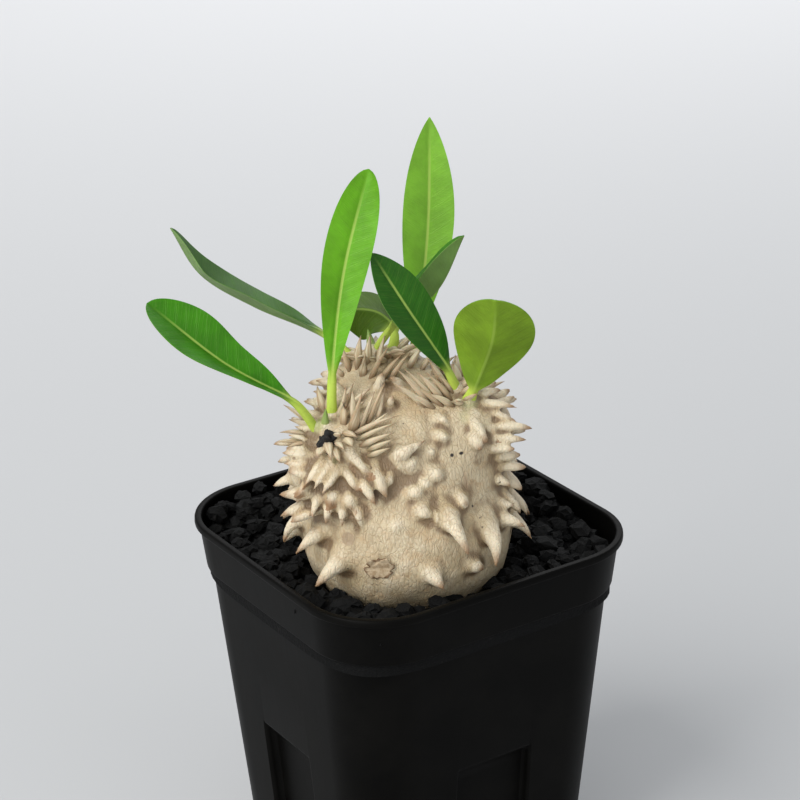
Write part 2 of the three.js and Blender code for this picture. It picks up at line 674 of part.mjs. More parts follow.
function makeGravel(stemTool) {
  const stones = [];
  const count = Math.floor(RIM_OPENING / STONE_PITCH);
  const edge = RIM_OPENING / 2 - STONE_INSET;
  for (let i = 0; i < count; i++) {
    for (let j = 0; j < count; j++) {
      const seed = 40 * i + j + 7;
      const shift = (j % 2) * ROW_SHIFT;
      const x = (i - (count - 1) / 2 + shift + STONE_JITTER * (draw(seed) - 0.5)) * STONE_PITCH;
      const y = (j - (count - 1) / 2 + STONE_JITTER * (draw(seed + 900) - 0.5)) * STONE_PITCH;
      if (Math.hypot(x - STEM_AXIS[0], y - STEM_AXIS[1]) < UNDER_STEM) continue;
      if (Math.max(Math.abs(x), Math.abs(y)) > edge) continue;
      const behind = smooth((y * Math.cos(PLANT_TURN) - x * Math.sin(PLANT_TURN)) / HEAP_RUN);
      const outward = smooth((Math.hypot(x, y) - HEAP_START) / HEAP_RUN);
      const heap = outward * (HEAP_FRONT + (HEAP_BACK - HEAP_FRONT) * behind);
      const top = GRAVEL_TOP + between(STONE_RISE, seed + 1800) + heap;
      const size = STONE_SIZE * between(STONE_SIZES, seed + 2700);
      stones.push(stone(seed * 7, x, y, top, size, heap));
    }
  }
  const bed = cavity(CLEAR, GRAVEL_TOP).subtract(slab(0, SOIL_TOP + CLEAR));
  const heaped = wasm.Manifold.union([bed, ...stones]).intersect(cavity(CLEAR));
  return largestBody(heaped.subtract(stemTool));
}

function makeSubstrate(stemTool) {
  return largestBody(cavity(CLEAR, SOIL_TOP).subtract(stemTool));
}

function node(name, solid, color, roughness) {
  const mesh = new THREE.Mesh(
    geometryFrom(solid),
    new THREE.MeshStandardMaterial({ name: name + "_material", color, roughness, metalness: 0 }),
  );
  mesh.name = name;
  return mesh;
}

const part = new THREE.Group();
part.name = "potted_pachypodium";
const plant = new THREE.Group();
plant.name = "plant";
plant.rotation.z = PLANT_TURN;
const stemTool = stemWithSpines(CLEAR).rotate([0, 0, THREE.MathUtils.radToDeg(PLANT_TURN)]);

part.add(node("pot", makePot(), 0x15161a, 0.5));
part.add(node("substrate", makeSubstrate(stemTool), 0x241d18, 0.95));
part.add(node("gravel", makeGravel(stemTool), 0x1c1c1e, 0.95));
plant.add(node("caudex", makeStem(), 0xcdb79a, 0.8));
LEAVES.forEach((leaf, i) => plant.add(node("leaf_" + (i + 1), makeLeaf(leaf), 0x3f9a2c, 0.5)));
BUDS.forEach((bud) => plant.add(node(bud.name, makeBud(bud), 0x8fb060, 0.6)));
plant.add(node("stub", makeStub(), 0x14100e, 0.9));
part.add(plant);

export default part;
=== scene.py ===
import math

import bmesh
import bpy
import numpy as np
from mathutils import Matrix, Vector


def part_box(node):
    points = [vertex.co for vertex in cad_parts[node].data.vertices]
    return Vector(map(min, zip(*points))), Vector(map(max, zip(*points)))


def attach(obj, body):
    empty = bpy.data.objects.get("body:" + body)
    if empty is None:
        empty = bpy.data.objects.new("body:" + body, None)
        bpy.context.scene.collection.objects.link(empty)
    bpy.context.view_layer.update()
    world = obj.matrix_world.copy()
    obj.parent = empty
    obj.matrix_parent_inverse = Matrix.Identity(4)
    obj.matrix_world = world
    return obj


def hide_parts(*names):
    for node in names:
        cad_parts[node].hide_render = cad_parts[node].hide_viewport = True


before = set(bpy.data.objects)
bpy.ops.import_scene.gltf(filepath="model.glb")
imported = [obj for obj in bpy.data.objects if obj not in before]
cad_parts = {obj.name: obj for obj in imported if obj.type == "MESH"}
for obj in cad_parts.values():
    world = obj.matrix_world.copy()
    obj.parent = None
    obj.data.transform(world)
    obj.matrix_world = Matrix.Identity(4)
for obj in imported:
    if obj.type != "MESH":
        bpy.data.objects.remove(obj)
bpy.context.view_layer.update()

# Potted Pachypodium eburneum. Shapes are worked out in millimetres and written to the meshes in metres.
# The plant is worked out with its front towards -Y, then turned on the pot's axis to where it grows.
mm = 0.001
goldenAngle = math.pi * (3 - math.sqrt(5))
plantTurn = math.radians(-33.03)
potLow, potHigh = [np.array(corner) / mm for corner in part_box("pot")]
rimHeight = potHigh[2]
rimSide = potHigh[0] - potLow[0]


# numbers

def smooth(t):
    # 3t^2 - 2t^3 between 0 and 1
    t = np.clip(t, 0, 1)
    return t * t * (3 - 2 * t)


drawFacts = {"step": 12.9898, "gain": 43758.5453}
latticeFacts = {"primes": (73856093, 19349663, 83492791), "seed": 2654435, "mixer": 1274126177}


def draw(n, facts=drawFacts):
    # a repeatable draw from 0 to 1 for each number: the fraction of a large sine
    wave = np.sin(np.asarray(n, float) * facts["step"]) * facts["gain"]
    return wave - np.floor(wave)


def unit(vectors):
    return vectors / (np.linalg.norm(vectors, axis=-1, keepdims=True) + 1e-12)


def lumps(points, size, seed, facts=latticeFacts):
    # value noise from -1 to 1: a random height at each corner of a cubic lattice, blended smoothly between
    place = points / size
    cell = np.floor(place).astype(np.int64)
    part = smooth(place - cell)
    total = np.zeros(points.shape[:-1])
    for corner in np.ndindex(2, 2, 2):
        c = (cell + np.array(corner)) * np.array(facts["primes"])
        mixed = c[..., 0] ^ c[..., 1] ^ c[..., 2] ^ seed * facts["seed"]
        mixed = ((mixed ^ mixed >> 13) * facts["mixer"]) & 0xFFFFFFFF
        height = ((mixed ^ mixed >> 16) & 0xFFFF) / 32767.5 - 1
        total += height * np.where(corner, part, 1 - part).prod(-1)
    return total


def turned(points, angle=plantTurn):
    # the plant's own directions, turned about the pot's axis
    c, s = math.cos(angle), math.sin(angle)
    return points @ np.array([[c, s, 0], [-s, c, 0], [0, 0, 1]])


def curveThrough(knots, count, samples=400):
    # a smooth curve through the knots: Catmull-Rom by chord length, sampled evenly along its length
    knots = np.array(knots, float)
    ends = np.vstack([2 * knots[0] - knots[1], knots, 2 * knots[-1] - knots[-2]])
    chords = np.sqrt(np.linalg.norm(np.diff(ends, axis=0), axis=1))
    t = np.concatenate([[0], np.cumsum(chords)])
    u = np.linspace(t[1], t[-2] - 1e-9, samples)
    i = np.clip(np.searchsorted(t, u, side="right") - 1, 1, len(knots) - 1)
    t0, t1, t2, t3 = [t[i + k][:, None] for k in (-1, 0, 1, 2)]
    p0, p1, p2, p3 = [ends[i + k] for k in (-1, 0, 1, 2)]
    u = u[:, None]
    a1 = p0 + (p1 - p0) * (u - t0) / (t1 - t0)
    a2 = p1 + (p2 - p1) * (u - t1) / (t2 - t1)
    a3 = p2 + (p3 - p2) * (u - t2) / (t3 - t2)
    b1 = a1 + (a2 - a1) * (u - t0) / (t2 - t0)
    b2 = a2 + (a3 - a2) * (u - t1) / (t3 - t1)
    fine = b1 + (b2 - b1) * (u - t1) / (t2 - t1)
    far = np.concatenate([[0], np.cumsum(np.linalg.norm(np.diff(fine, axis=0), axis=1))])
    steps = np.linspace(0, far[-1], count)
    return np.stack([np.interp(steps, far, fine[:, k]) for k in range(3)], 1), far[-1]


# meshes

def gridFaces(rows, columns):
    # quads between neighbouring points of a grid whose rows close on themselves
    i, j = np.meshgrid(np.arange(rows - 1) * columns, np.arange(columns), indexing="ij")
    k = (j + 1) % columns
    return np.stack([i + j, i + k, i + columns + k, i + columns + j], -1).reshape(-1, 4)


def closedTube(rings):
    # rings of points joined into a skin, with a point in the middle of each end
    rows, columns = rings.shape[:2]
    points = np.vstack([rings.reshape(-1, 3), rings[0].mean(0), rings[-1].mean(0)])
    j = np.arange(columns)
    k = (j + 1) % columns
    first, last = [np.full(columns, rows * columns + end) for end in (0, 1)]
    low = np.stack([k, j, first, first], 1)
    top = (rows - 1) * columns
    high = np.stack([top + j, top + k, last, last], 1)
    return points, np.vstack([gridFaces(rows, columns), low, high])


def around(count):
    # bearings of so many points evenly round a circle
    return np.linspace(0, 2 * math.pi, count, endpoint=False)


def sphereGrid(rows, columns, pole):
    # unit directions by latitude and longitude, from the bottom up, as near to the poles as pole says
    v = np.linspace(pole, math.pi - pole, rows)[::-1, None]
    u = around(columns)[None, :]
    return np.stack([np.sin(v) * np.cos(u), np.sin(v) * np.sin(u), np.cos(v) + 0 * u], -1)


def crossAxes(axis):
    # two directions square to an axis and to each other
    side = unit(np.cross(axis, np.array([0.2, 1, 0.1])))
    return side, np.cross(axis, side)


def joined(parts):
    # several (points, faces) put together as one
    points, faces, start = [], [], 0
    for p, f in parts:
        points.append(p)
        faces.append(f + start)
        start += len(p)
    return np.vstack(points), np.vstack(faces)


def meshOf(name, points, faces):
    # a mesh from points in millimetres; a face whose last two corners are the same is a triangle
    mesh = bpy.data.meshes.new(name)
    rows = [row[:3] if row[2] == row[3] else row for row in faces.tolist()]
    mesh.from_pydata((points * mm).tolist(), [], rows)
    mesh.update()
    return mesh


def setValues(mesh, name, values):
    layer = mesh.attributes.new(name, "FLOAT", "POINT")
    layer.data.foreach_set("value", np.ascontiguousarray(values, np.float32).ravel())


def setUv(mesh, uv):
    corners = np.empty(len(mesh.loops), np.int32)
    mesh.loops.foreach_get("vertex_index", corners)
    layer = mesh.uv_layers.new(name="surface")
    layer.data.foreach_set("uv", uv[corners].astype(np.float32).ravel())


def added(name, data):
    # a new object in the scene
    item = bpy.data.objects.new(name, data)
    bpy.context.scene.collection.objects.link(item)
    return item


def withModifiers(item):
    # the object's mesh with its modifiers worked in
    return bpy.data.meshes.new_from_object(item.evaluated_get(bpy.context.evaluated_depsgraph_get()))


def place(name, mesh, material, slot, *nodes, soft=True):
    # puts a finished mesh in the scene as one piece that rides with the part
    piece = added(name, mesh)
    mesh.materials.clear()
    mesh.materials.append(material)
    mesh.polygons.foreach_set("use_smooth", np.full(len(mesh.polygons), soft))
    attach(piece, "root")
    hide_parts(*nodes)
    return piece


def pointsOf(mesh):
    points = np.empty(len(mesh.vertices) * 3, np.float32)
    mesh.vertices.foreach_get("co", points)
    return points.reshape(-1, 3).astype(float) / mm


def setPoints(mesh, points):
    mesh.vertices.foreach_set("co", np.ascontiguousarray(points * mm, np.float32).ravel())
    mesh.update()


def neighbourMean(points, edges):
    # the mean of each point's neighbours along the edges
    count = len(points)
    total = np.zeros_like(points)
    for a, b in ((0, 1), (1, 0)):
        for k in range(points.shape[1]):
            total[:, k] += np.bincount(edges[:, a], points[edges[:, b], k], count)
    ties = np.bincount(edges.ravel(), minlength=count)[:, None]
    return total / np.maximum(ties, 1)


def eased(points, edges, share):
    # each point moved by a share of the way to its neighbours' mean; a share below 0 moves it away
    return points + share * (neighbourMean(points, edges) - points)


def fused(name, points, faces, voxel, rounds):
    # closed shapes melted into one skin: a voxel remesh, then smoothed by each share of the rounds in turn
    rough = added(name + "Rough", meshOf(name + "Rough", points, faces))
    melt = rough.modifiers.new("melt", "REMESH")
    melt.mode = "VOXEL"
    melt.voxel_size = voxel * mm
    mesh = withModifiers(rough)
    bpy.data.objects.remove(rough)
    mesh.name = name
    edges = np.empty(len(mesh.edges) * 2, np.int32)
    mesh.edges.foreach_get("vertices", edges)
    edges = edges.reshape(-1, 2)
    skin = pointsOf(mesh)
    for share in rounds:
        skin = eased(skin, edges, share)
    setPoints(mesh, skin)
    return mesh, edges


def normalsOf(mesh):
    normals = np.empty(len(mesh.vertices) * 3, np.float32)
    mesh.vertex_normals.foreach_get("vector", normals)
    return normals.reshape(-1, 3).astype(float)


# paint

class Signal:
    # one output of a material's nodes; arithmetic on it adds Math nodes
    def __init__(self, paint, socket):
        self.paint = paint
        self.socket = socket

    def math(self, operation, *others):
        return self.paint.node("ShaderNodeMath", {"operation": operation}, dict(enumerate((self, *others))))

    def __add__(self, other):
        return self.math("ADD", other)

    def __sub__(self, other):
        return self.math("SUBTRACT", other)

    def __mul__(self, other):
        return self.math("MULTIPLY", other)

    def __truediv__(self, other):
        return self.math("DIVIDE", other)

    def __rsub__(self, other):
        return self.paint.node("ShaderNodeMath", {"operation": "SUBTRACT"}, {0: other, 1: self})

    __radd__ = __add__
    __rmul__ = __mul__

    def size(self):
        return self.math("ABSOLUTE")

    def fraction(self):
        return self.math("FRACT")

    def held(self):
        return self.paint.node("ShaderNodeClamp", {}, {0: self})

    def between(self, low, high):
        # 0 below low, 1 above high, smooth in between
        settings = {"interpolation_type": "SMOOTHSTEP"}
        return self.paint.node("ShaderNodeMapRange", settings, {0: self, 1: low, 2: high, 3: 0.0, 4: 1.0})

    def lineAt(self, centre, width):
        # 1 where the signal is at the centre, 0 from width away on
        return 1 - (self - centre).size().between(0.0, width)


class Paint:
    # a material and the few node habits used here; lengths are given in millimetres
    def __init__(self, name, **shader):
        self.material = bpy.data.materials.new(name)
        self.material.use_nodes = True
        self.tree = self.material.node_tree
        self.shader = self.tree.nodes["Principled BSDF"]
        for key, value in shader.items():
            self.shader.inputs[key.replace("_", " ")].default_value = value

    def node(self, kind, settings=None, inputs=None, output=0):
        made = self.tree.nodes.new(kind)
        for key, value in (settings or {}).items():
            setattr(made, key, value)
        for key, value in (inputs or {}).items():
            self.feed(made.inputs[key], value)
        return Signal(self, made.outputs[output])

    def feed(self, socket, value):
        if isinstance(value, Signal):
            self.tree.links.new(value.socket, socket)
        else:
            socket.default_value = value

    def set(self, socket, value):
        self.feed(self.shader.inputs[socket], value)

    def place(self):
        return self.node("ShaderNodeTexCoord", output=3)

    def surface(self):
        return self.node("ShaderNodeUVMap", {"uv_map": "surface"})

    def axis(self, vector, number):
        return self.node("ShaderNodeSeparateXYZ", {}, {0: vector}, number)

    def vector(self, operation, first, second, output=0):
        return self.node("ShaderNodeVectorMath", {"operation": operation}, {0: first, 1: second}, output)

    def stretched(self, vector, scale):
        return self.node("ShaderNodeMapping", {}, {"Vector": vector, "Scale": scale})

    def noise(self, vector, size, detail=2.0, rough=0.5, output=0):
        # size is the width of a lump in millimetres
        inputs = {"Vector": vector, "Scale": 1000 / size, "Detail": detail, "Roughness": rough}
        return self.node("ShaderNodeTexNoise", {}, inputs, output)

    def warped(self, vector, size, amount):
        # the vector pushed about by a noise of this size, by up to half the amount in millimetres
        push = self.vector("SUBTRACT", self.noise(vector, size, 1.0, output=1), (0.5, 0.5, 0.5))
        return self.vector("ADD", vector, self.vector("MULTIPLY", push, (amount * mm,) * 3))

    def cells(self, vector, feature="DISTANCE_TO_EDGE"):
        return self.node("ShaderNodeTexVoronoi", {"feature": feature}, {"Vector": vector, "Scale": 1.0})

    def value(self, name):
        return self.node("ShaderNodeAttribute", {"attribute_name": name}, output=2)

    def mix(self, low, high, amount):
        low, high = [tint if isinstance(tint, Signal) else (*tint, 1.0) for tint in (low, high)]
        return self.node("ShaderNodeMix", {"data_type": "RGBA"}, {0: amount, 6: low, 7: high}, 2)

    def over(self, base, *coats):
        # the base under one coat of colour after another, each given as its colour and its mask
        for tint, mask in coats:
            base = self.mix(base, tint, mask)
        return base

    def near(self, vector, spot, radius, tall=1.0):
        # 1 at a spot in the plant's millimetres, 0 beyond the radius, which is drawn out upwards by tall
        squash = (1, 1, 1 / tall)
        centre = tuple(turned(np.array(spot, float)) * mm * squash)
        flat = self.stretched(vector, squash)
        apart = self.vector("DISTANCE", flat, centre, 1)
        return 1 - (apart / (radius * mm)).held()

    def bump(self, height, depth, strength):
        # depth is what a height of 1 stands up, in millimetres
        inputs = {"Height": height, "Distance": depth * mm, "Strength": strength}
        return self.node("ShaderNodeBump", {}, inputs)


# camera, floor and light

cameraFacts = {
    "place": (-313.02, -481.41, 373.13),
    "turn": (66.8932, 1.2565, -33.4774),
    "lens": 112.732,
    "clip": 0.01,
}


def makeCamera(facts):
    # the photograph's own viewpoint, fitted to the rim of the pot
    camera = added("camera", bpy.data.cameras.new("camera"))
    camera.location = [value * mm for value in facts["place"]]
    camera.rotation_euler = [math.radians(angle) for angle in facts["turn"]]
    camera.data.lens = facts["lens"]
    camera.data.clip_start = facts["clip"]
    bpy.context.scene.camera = camera


lamps = {
    "key": dict(azimuth=-54, height=46, distance=1.3, size=0.9, power=15.0, colour=(1.0, 0.985, 0.96)),
    "fill": dict(azimuth=55, height=35, distance=1.5, size=1.2, power=3.0, colour=(0.97, 0.985, 1.0)),
    "back": dict(azimuth=170, height=42, distance=1.6, size=1.1, power=9.0, colour=(1.0, 1.0, 1.0)),
    "low": dict(azimuth=-26, height=8, distance=1.2, size=0.7, power=4.6, colour=(1.0, 0.99, 0.97)),
}
skyFacts = {"colour": (0.95, 0.97, 1.0), "strength": 0.5}
# the floor's near and far colours are painted light: darker near the pot, paler far behind it
floorFacts = {
    "half": 6000,
    "near": (0.46, 0.47, 0.48),
    "far": (0.90, 0.905, 0.92),
    "reach": (0.0, 1.5),  # metres behind the plant over which the near colour gives way to the far one
    "roughness": 0.75,
}


def makeLamp(name, lamp):
    # a soft lamp that looks at the rim, placed by bearing from the camera's side and by height angle
    data = bpy.data.lights.new(name, "AREA")
    data.size = lamp["size"]
    data.energy = lamp["power"]
    data.color = lamp["colour"]
    lit = added(name, data)
    a, h = math.radians(lamp["azimuth"]) + plantTurn, math.radians(lamp["height"])
    aim = Vector((math.sin(a) * math.cos(h), -math.cos(a) * math.cos(h), math.sin(h)))
    lit.location = Vector((0, 0, rimHeight * mm)) + aim * lamp["distance"]
    lit.rotation_euler = aim.to_track_quat("Z", "Y").to_euler()


def makeSky(facts):
    world = bpy.data.worlds.new("sky")
    world.use_nodes = True
    sky = world.node_tree.nodes["Background"]
    sky.inputs["Color"].default_value = (*facts["colour"], 1)
    sky.inputs["Strength"].default_value = facts["strength"]
    bpy.context.scene.world = world
    bpy.context.scene.view_settings.view_transform = "Standard"


def makeFloor(facts):
    # a wide pale table, painted darker near the pot and paler far behind the plant: a painted falloff of
    # light
    corners = np.array([[-1, -1, 0], [1, -1, 0], [1, 1, 0], [-1, 1, 0]], float) * facts["half"]
    floor = added("floor", meshOf("floor", corners, np.array([[0, 1, 2, 3]])))
    paint = Paint("floor", Roughness=facts["roughness"])
    away = paint.vector("DOT_PRODUCT", paint.place(), (-math.sin(plantTurn), math.cos(plantTurn), 0), 1)
    paint.set("Base Color", paint.mix(facts["near"], facts["far"], away.between(*facts["reach"])))
    floor.data.materials.append(paint.material)


makeCamera(cameraFacts)
for lampName, lampValues in lamps.items():
    makeLamp(lampName, lampValues)
makeSky(skyFacts)
makeFloor(floorFacts)
print("camera, lights and floor are in place")


# pot

potFacts = {
    "sideTaper": math.tan(math.radians(4.93)),
    "rimCorner": 20.3,
    "collarHeight": 13.6,
    "collarSide": 87.7,
    "collarCorner": 1.2,  # how much rounder the collar's foot is than the body
    "bodySide": 85.1,
    "bodyCorner": 18.2,
    "cornerShrink": 0.042,
    "bodyRows": (30, 60),
    "footRing": (6, 3),
    "pole": (0.2, 0.05),
    "wall": 1.3,
    "floor": 2.0,
    "lip": 2.0,
    "opening": 86.2,
    "innerStep": 1.2,
    "tighter": (1.1, 1.9, 2.1),  # how much tighter the corners are under the lip, at the opening and below it
    "recessWidth": 22.0,
    "recessHeight": 44.0,
    "recessDepth": 3.0,
    "recessRoof": 3.2,
    "recessRows": (-24.0, -5.5, -2.8, -0.3, 0.3),  # extra rows of points, up from the recess's top
    "recessFrom": (60, 4),  # no recess where the section is narrower than this, full this much wider
    "edgeRows": (-0.5, -0.25, 0.0, 0.25, 0.6),
    "edgeRun": 0.55,
    "edgeOut": 0.25,
    "middleRows": 12,
    "straightShare": 0.8,
    "cornerSteps": 15,
    "drainRadius": 4.5,
    "drainOffset": 17.0,
    "drainSpan": (-2, 5),
    "drainSides": 32,
}
potLook = {
    "deep": (0.0018, 0.0017, 0.0015),
    "worn": (0.0034, 0.0032, 0.0028),
    "dust": (0.035, 0.034, 0.03),
    "cloudSize": 18,
    "grainSize": 0.5,
    "dustSize": (1.1, 14),
    "scratchSize": 0.9,
    "specular": 0.05,
    "relief": 0.02,
}


def roundedPath(corners, steps=5):
    # a path of straight stretches whose corners, given as (side, corner radius, z, rounding), are eased by
    # quadratic arcs
    rows = np.array(corners, float)
    out = [rows[0, :3]]
    for i in range(1, len(rows) - 1):
        here, ease = rows[i, :3], rows[i, 3]
        if ease <= 0:
            out.append(here)
            continue
        ends = []
        for other in (rows[i - 1, :3], rows[i + 1, :3]):
            run = other - here
            ends.append(here + run * min(0.49, ease / (np.hypot(*run[[0, 2]]) + 1e-9)))
        t = np.linspace(0, 1, steps)[:, None]
        out.extend((1 - t) ** 2 * ends[0] + 2 * t * (1 - t) * here + t ** 2 * ends[1])
    out.append(rows[-1, :3])
    return np.array(out)


def withRows(path, heights):
    # the path with a point added wherever it passes one of the heights
    rows = []
    for a, b in zip(path[:-1], path[1:]):
        rows.append(a)
        cuts = np.sort(heights[(heights > min(a[2], b[2])) & (heights < max(a[2], b[2]))])
        rows.extend(a + (b - a) * (z - a[2]) / (b[2] - a[2]) for z in (cuts if b[2] > a[2] else cuts[::-1]))
    rows.append(path[-1])
    return np.array(rows)


def sideStations(edge, facts):
    # positions along one straight side: dense across the recess's two edges, even elsewhere
    near = -edge + np.array(facts["edgeRows"])
    middle = np.linspace(near[-1], -near[-1], facts["middleRows"])[1:-1]
    return np.concatenate([near, middle, -near[::-1]])


def potSection(facts):
    # the wall's section as (side, corner radius, z, rounding): from the middle of the underside up the
    # outside, over the lip and down the inside to the middle of the floor
    foot = rimHeight - facts["collarHeight"]
    lipFoot = rimHeight - facts["lip"]
    wall = facts["wall"]

    def body(z, inset=0.0):
        # side and corner radius of the tapering body at a height, moved in from its outside
        below = rimHeight - z
        side = facts["bodySide"] - 2 * facts["sideTaper"] * below
        return side - 2 * inset, facts["bodyCorner"] - facts["cornerShrink"] * below - inset

    underLip, atOpening, belowOpening = [facts["rimCorner"] - less for less in facts["tighter"]]
    ringSide, ringCorner = facts["footRing"]
    footSide, footCorner = body(foot)
    collarFoot = facts["collarSide"] - 2 * facts["sideTaper"] * facts["collarHeight"]
    return [
        (*facts["pole"], 0, 0),
        (body(0)[0] - ringSide, body(0)[1] - ringCorner, 0, 0),
        (*body(0), 0, 0.7),
        *[(*body(z), z, 0) for z in facts["bodyRows"]],
        (footSide, footCorner, foot, 0.5),
        (collarFoot, footCorner + facts["collarCorner"], foot, 0.5),
        (facts["collarSide"], underLip, lipFoot, 0.35),
        (rimSide, facts["rimCorner"], lipFoot + 0.1, 0.5),
        (rimSide, facts["rimCorner"], rimHeight, 0.95),
        (facts["opening"], atOpening, rimHeight, 0.9),
        (facts["opening"] - 0.4, belowOpening, rimHeight - 4, 0),
        (footSide + 2 - 2 * wall, footCorner, foot + facts["innerStep"], 0.5),
        (*body(foot, wall), foot, 0.5),
        *[(*body(z, wall), z, 0) for z in facts["bodyRows"][::-1]],
        (*body(facts["floor"], wall), facts["floor"], 1.0),
        (*facts["pole"], facts["floor"], 0),
    ]


def makePot(facts):
    # the section carried round a square with round corners, pushed in at each side's recess, then drilled
    rows = withRows(roundedPath(potSection(facts)), facts["recessHeight"] + np.array(facts["recessRows"]))
    sides, corners, z = rows[:, 0:1], rows[:, 1:2], rows[:, 2:3]
    inset = sides / 2 - corners
    edge = facts["recessWidth"] / 2
    along = sideStations(edge, facts)[None, :] * np.minimum(1, facts["straightShare"] * inset / edge)
    angles = np.linspace(0, math.pi / 2, facts["cornerSteps"])[None, :]
    start, run = facts["recessFrom"]
    drop = smooth((facts["recessHeight"] - z) / facts["recessRoof"]) * smooth((sides - start) / run)
    across = smooth((edge + facts["edgeOut"] - np.abs(along)) / facts["edgeRun"])
    straight = np.stack([along, -sides / 2 + facts["recessDepth"] * drop * across, z + 0 * along], -1)
    turn = np.stack([inset + corners * np.sin(angles), -inset - corners * np.cos(angles), z + 0 * angles], -1)
    quarter = np.concatenate([straight, turn], 1)
    rings = np.concatenate([turned(quarter, k * math.pi / 2) for k in range(4)], 1)
    pot = place("pot_shell", meshOf("pot", *closedTube(rings)), potPaint(potLook), "pot_plastic", "pot")
    t = around(facts["drainSides"])
    drills = []
    for x in (-1, 1):
        for y in (-1, 1):
            ring = np.stack([np.cos(t) * facts["drainRadius"], np.sin(t) * facts["drainRadius"], 0 * t], 1)
            middle = np.array([x * facts["drainOffset"], y * facts["drainOffset"], 0])
            drills.append(closedTube(np.stack([ring + middle + [0, 0, h] for h in facts["drainSpan"]])))
    cutter = added("drills", meshOf("drills", *joined(drills)))
    cut = pot.modifiers.new("drain", "BOOLEAN")
    cut.operation = "DIFFERENCE"
    cut.solver = "EXACT"
    cut.object = cutter
    drained = withModifiers(pot)
    pot.modifiers.clear()
    pot.data = drained
    bpy.data.objects.remove(cutter)
    return pot


def potPaint(look):
    # satin black plastic, a little greyer and rougher in cloudy patches, with faint moulding texture and dust
    paint = Paint("potPlastic", Roughness=0.42, Specular_IOR_Level=look["specular"])
    spot = paint.place()
    cloud = paint.noise(spot, look["cloudSize"], 3, 0.6)
    grain = paint.noise(spot, look["grainSize"], 2, 0.6)
    specks, patches = look["dustSize"]
    dusty = paint.noise(spot, patches).between(0.5, 0.7)
    dust = paint.noise(spot, specks, 4, 0.8).between(0.66, 0.74) * dusty
    scratch = paint.noise(paint.stretched(spot, (1, 1, 0.08)), look["scratchSize"], 3, 0.7)
    base = paint.mix(look["deep"], look["worn"], cloud.between(0.35, 0.7))
    paint.set("Base Color", paint.mix(base, look["dust"], dust * 0.25))
    paint.set("Roughness", 0.36 + cloud * 0.13 + scratch * 0.06 + dust * 0.12)
    paint.set("Normal", paint.bump(grain * 0.6 + scratch * 0.5, look["relief"], 0.5))
    return paint.material


makePot(potFacts)
print("pot is moulded")


# where the leaves and growing tips stand

leafFacts = {
    "rows": 130,
    "columns": 36,
    "thick": 0.55,
    "edge": 0.28,
    "stalkHalf": 1.15,
    "stalkThick": 2.0,
    "tipHalf": 0.12,
    "socket": 2.2,
    "stalkFade": 0.25,
    "shoulder": 0.3,
    "footSwell": (0.5, 1.8),
    "rib": (0.55, 0.8),
    "groove": (0.28, 0.55),
    "waves": (17, 1.3),
    "foldRound": (1.4, 0.15),
    "veinPitch": 3.1,
    "veinLean": 4.2,
    "smallPitch": 1.03,
    "smallLean": 1.7,
}

